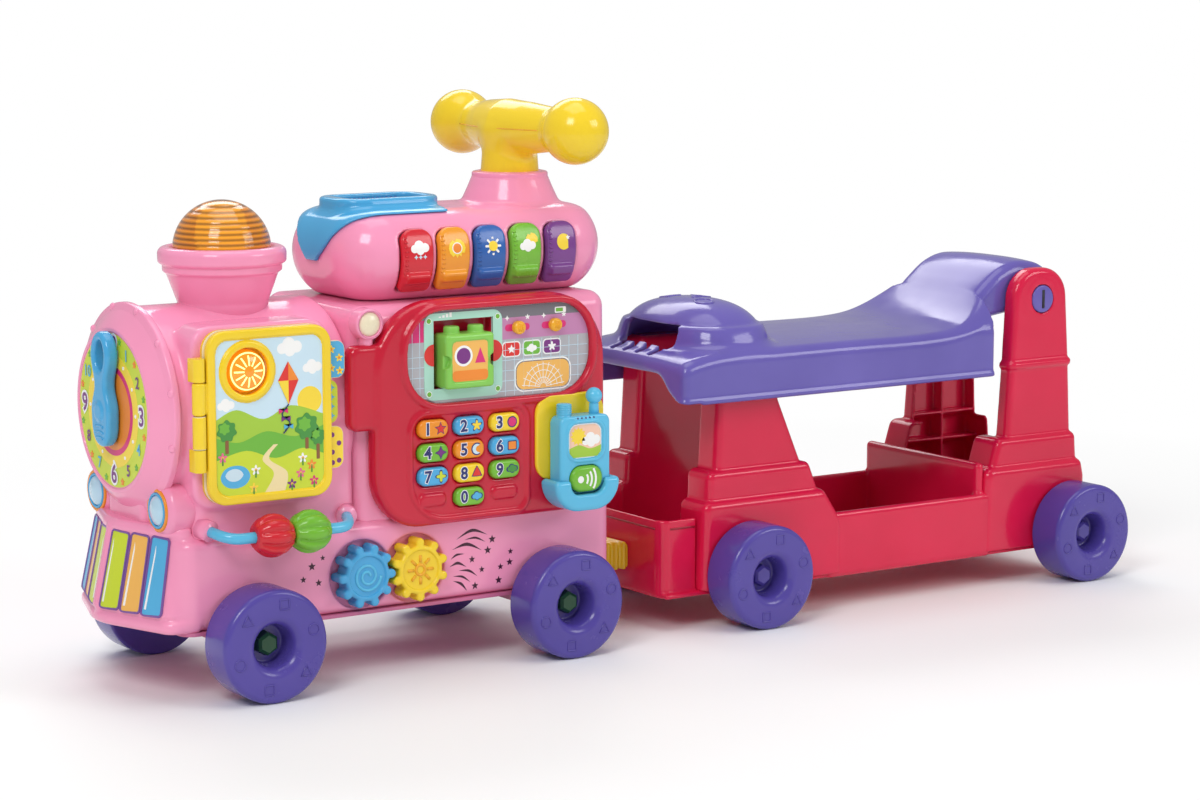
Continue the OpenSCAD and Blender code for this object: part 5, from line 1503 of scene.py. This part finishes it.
def seat():
    f = Field((412, -95, 192), (876, 95, 308), 1.6)
    top = flow(f.x, [(400, 231), (418, 237), (436, 242), (462, 245.6), (500, 246), (560, 246), (620, 246),
                     (665, 246), (700, 247), (728, 250.5), (750, 258), (768, 269), (785, 283), (803, 295.5),
                     (823, 301.5), (845, 300), (858, 295), (872, 285)])
    crown = flow(f.x, [(400, 3), (500, 4), (600, 4), (690, 5), (740, 6), (780, 4), (820, 3), (880, 3)])
    lean = np.clip((f.z - 238) / 50, 0, 1)
    half = np.minimum(90 - 30 * lean * lean * (3 - 2 * lean), np.interp(f.x, (770, 776), (90, 60)))
    drop = crown * (np.abs(f.y) / half).clip(0, 1.2) ** 2.6
    under = np.interp(f.x, (740, 773, 845, 866), (241, 246.5, 256, 262))
    back = both(under - f.z, f.x - np.interp(f.z, (262, 300), (861, 865)), 5)
    ends = both(join(f.x - 772.5, back, 4), 417 - f.x, 6)
    whole = both(both(np.abs(f.y) - half, (f.z - top + drop) * 0.88, 9), ends, 7)
    skirt = join(whole, both(whole - 1.6, slab(f.z, SEAT_SKIRT, SEAT_SKIRT + 4.5), 2), 2.5)
    hood = hood_form(f.x, f.y, f.z)
    band = both(hood - 2.4, f.z - 262, 1.8)
    skirt = join(skirt, both(join(hood, band, 1.5), 228 - f.z), 6)
    hollow = np.maximum(whole + SHELL_WALL, f.x - 769)
    shell = cut(skirt, np.minimum(hollow, both(hood + SHELL_WALL, 225 - f.z)))
    shell = both(shell, SEAT_SKIRT - f.z, 1.5)
    brow = flow(np.abs(f.y), [(-20, 223), (0, 223), (20, 223), (46, 223), (56, 219), (66, 209), (76, 203),
                              (90, 200), (100, 199)])
    shell = cut(shell, both(f.x - 437, f.z - brow, 3), 2)
    mouth = both(both(np.abs(f.y) - 41, slab(f.x, 437, 478), 7), slab(f.z, 215, 262), 7)
    shell = cut(shell, mouth, 2)
    for k in range(4):
        y = -28.8 + 19.2 * k
        shell = cut(shell, block(f, (423, 440), (y - 3.4, y + 3.4), (231, 260), 3), 1.2)
    f.skin("seat_shell", shell, purple, "seat", ["seat"])
    pins = Merge()
    cap = rounded([(0, 56, 0), (12.9, 56, 0), (12.9, 77.6, 1.6), (0, 77.6, 0)])
    points, faces = lathe(cap, "y", (PIN_X, 0, PIN_Z), 40)
    for s in (1, -1):
        pins.add(points * (1, s, 1), faces if s > 0 else [tuple(q)[::-1] for q in faces])
    pins.piece("seat_pins", purple, "seat")
    # The pin slots are dark lines: painted shade in the slots.
    slots = [[(PIN_X, 77.2 * s, PIN_Z + by) for by in (-8.5, 8.5)] for s in (1, -1)]
    ridges("seat_pin_slots", slots, 1.6, dark, "seat", 8)
    forms = ((484, -26, circle(8.5, n=28)), (496, 0, star(11, points=3, inner=0.5)),
             (484, 26, rect((-7, 7), (-7, 7), 1.5)))
    marks = [[(x + u, y + v, hood_height(x + u, y + v)) for u, v in form] for x, y, form in forms]
    ridges("seat_hood_marks", marks, 0.9, purple, "seat", 8, True)


hitch()
tub()
front_legs()
rear_posts()
seat()


# Floor, light and camera

WHITE = (1, 1, 1, 1)
FADE_M = (0.62, 1.25)  # where the floor turns white, in metres from the middle
SKY_LEVEL = 0.4  # how strongly the world lights the train


def floor_material():
    """Pale floor that takes the shadow near the train and fades to plain white farther off."""
    mat = bpy.data.materials.new("studio_floor")
    mat.use_nodes = True
    tree = mat.node_tree
    shader = tree.nodes["Principled BSDF"]
    coords = tree.nodes.new("ShaderNodeTexCoord").outputs["Object"]
    tone = spread(tree, noise(tree, coords, 1.5, 2.0), 0.0, 1.0)
    pale = blend_colours(tree, tone, linear((248, 248, 248)), linear((253, 253, 253)))
    wire(tree, shader, {"Base Color": pale, "Roughness": 0.6})
    white = node(tree, "Emission", {"Color": WHITE, "Strength": 1.0})
    far = node(tree, "VectorMath", {0: coords}, operation="LENGTH")["Value"]
    fade = {0: spread(tree, far, 0.0, 1.0, *FADE_M), 1: background_rays(tree)}
    fade = node(tree, "Math", fade, operation="MULTIPLY")
    mix = node(tree, "MixShader", {0: fade[0], 1: shader.outputs[0], 2: white[0]})
    wire(tree, tree.nodes["Material Output"], {"Surface": mix[0]})
    return mat


def stage():
    """A round pale floor under the train; the world behind it is white."""
    rings = np.linspace(0.25, 7.0, 28)
    spokes = 72
    points = [(0.0, 0.0, 0.0)]
    points += [(*spot((0, 0), r, k * TURN / spokes), 0.0) for r in rings for k in range(spokes)]
    faces = [(0, 1 + k, 1 + (k + 1) % spokes) for k in range(spokes)]
    for i in range(len(rings) - 1):
        for k in range(spokes):
            a, b = 1 + i * spokes + k, 1 + i * spokes + (k + 1) % spokes
            faces.append((a, a + spokes, b + spokes, b))
    mesh = bpy.data.meshes.new("studio_floor")
    mesh.from_pydata(points, [], faces)
    mesh.materials.append(floor_material())
    floor = add_object("studio_floor", mesh)


def softbox(name, place, aim, size, power):
    lamp = bpy.data.lights.new(name, "AREA")
    lamp.shape, lamp.size, lamp.size_y, lamp.energy = "RECTANGLE", size[0], size[1], power
    obj = add_object(name, lamp)
    obj.location = place
    obj.rotation_euler = (Vector(aim) - Vector(place)).to_track_quat("-Z", "Y").to_euler()


def background_rays(tree):
    """One for rays that see the background straight or through glass."""
    path = node(tree, "LightPath", {})
    rays = {0: path["Is Camera Ray"], 1: path["Is Transmission Ray"]}
    return node(tree, "Math", rays, operation="MAXIMUM")[0]


def lights():
    softbox("key_light", (-2.2, -1.6, 2.4), (0, 0, 0.2), (1.2, 1.2), 42)
    softbox("fill_light", (1.9, -2.4, 1.7), (0.1, 0, 0.2), (1.5, 1.1), 25)
    softbox("back_light", (0.6, 2.2, 2.2), (0, 0, 0.3), (2.2, 1.0), 26)
    softbox("top_light", (-0.1, 0, 3.0), (0, 0, 0), (2.0, 2.0), 25)
    world = bpy.data.worlds.new("studio")
    bpy.context.scene.world = world
    world.use_nodes = True
    tree = world.node_tree
    tree.nodes.clear()
    soft, white = (node(tree, "Background", {"Color": WHITE, "Strength": level})[0]
                   for level in (SKY_LEVEL, 1.0))
    mix = node(tree, "MixShader", {0: background_rays(tree), 1: soft, 2: white})
    node(tree, "OutputWorld", {"Surface": mix[0]})


def camera():
    data = bpy.data.cameras.new("photo_camera")
    data.lens, data.sensor_width = 94.33, 36.0
    data.clip_end = 60
    obj = add_object("photo_camera", data)
    obj.location = (-1.5500, -2.2767, 0.5943)
    obj.rotation_euler = (math.radians(81.749), 0, math.radians(-33.941))
    bpy.context.scene.camera = obj


stage()
lights()
camera()
bpy.context.scene.view_settings.view_transform = "Standard"
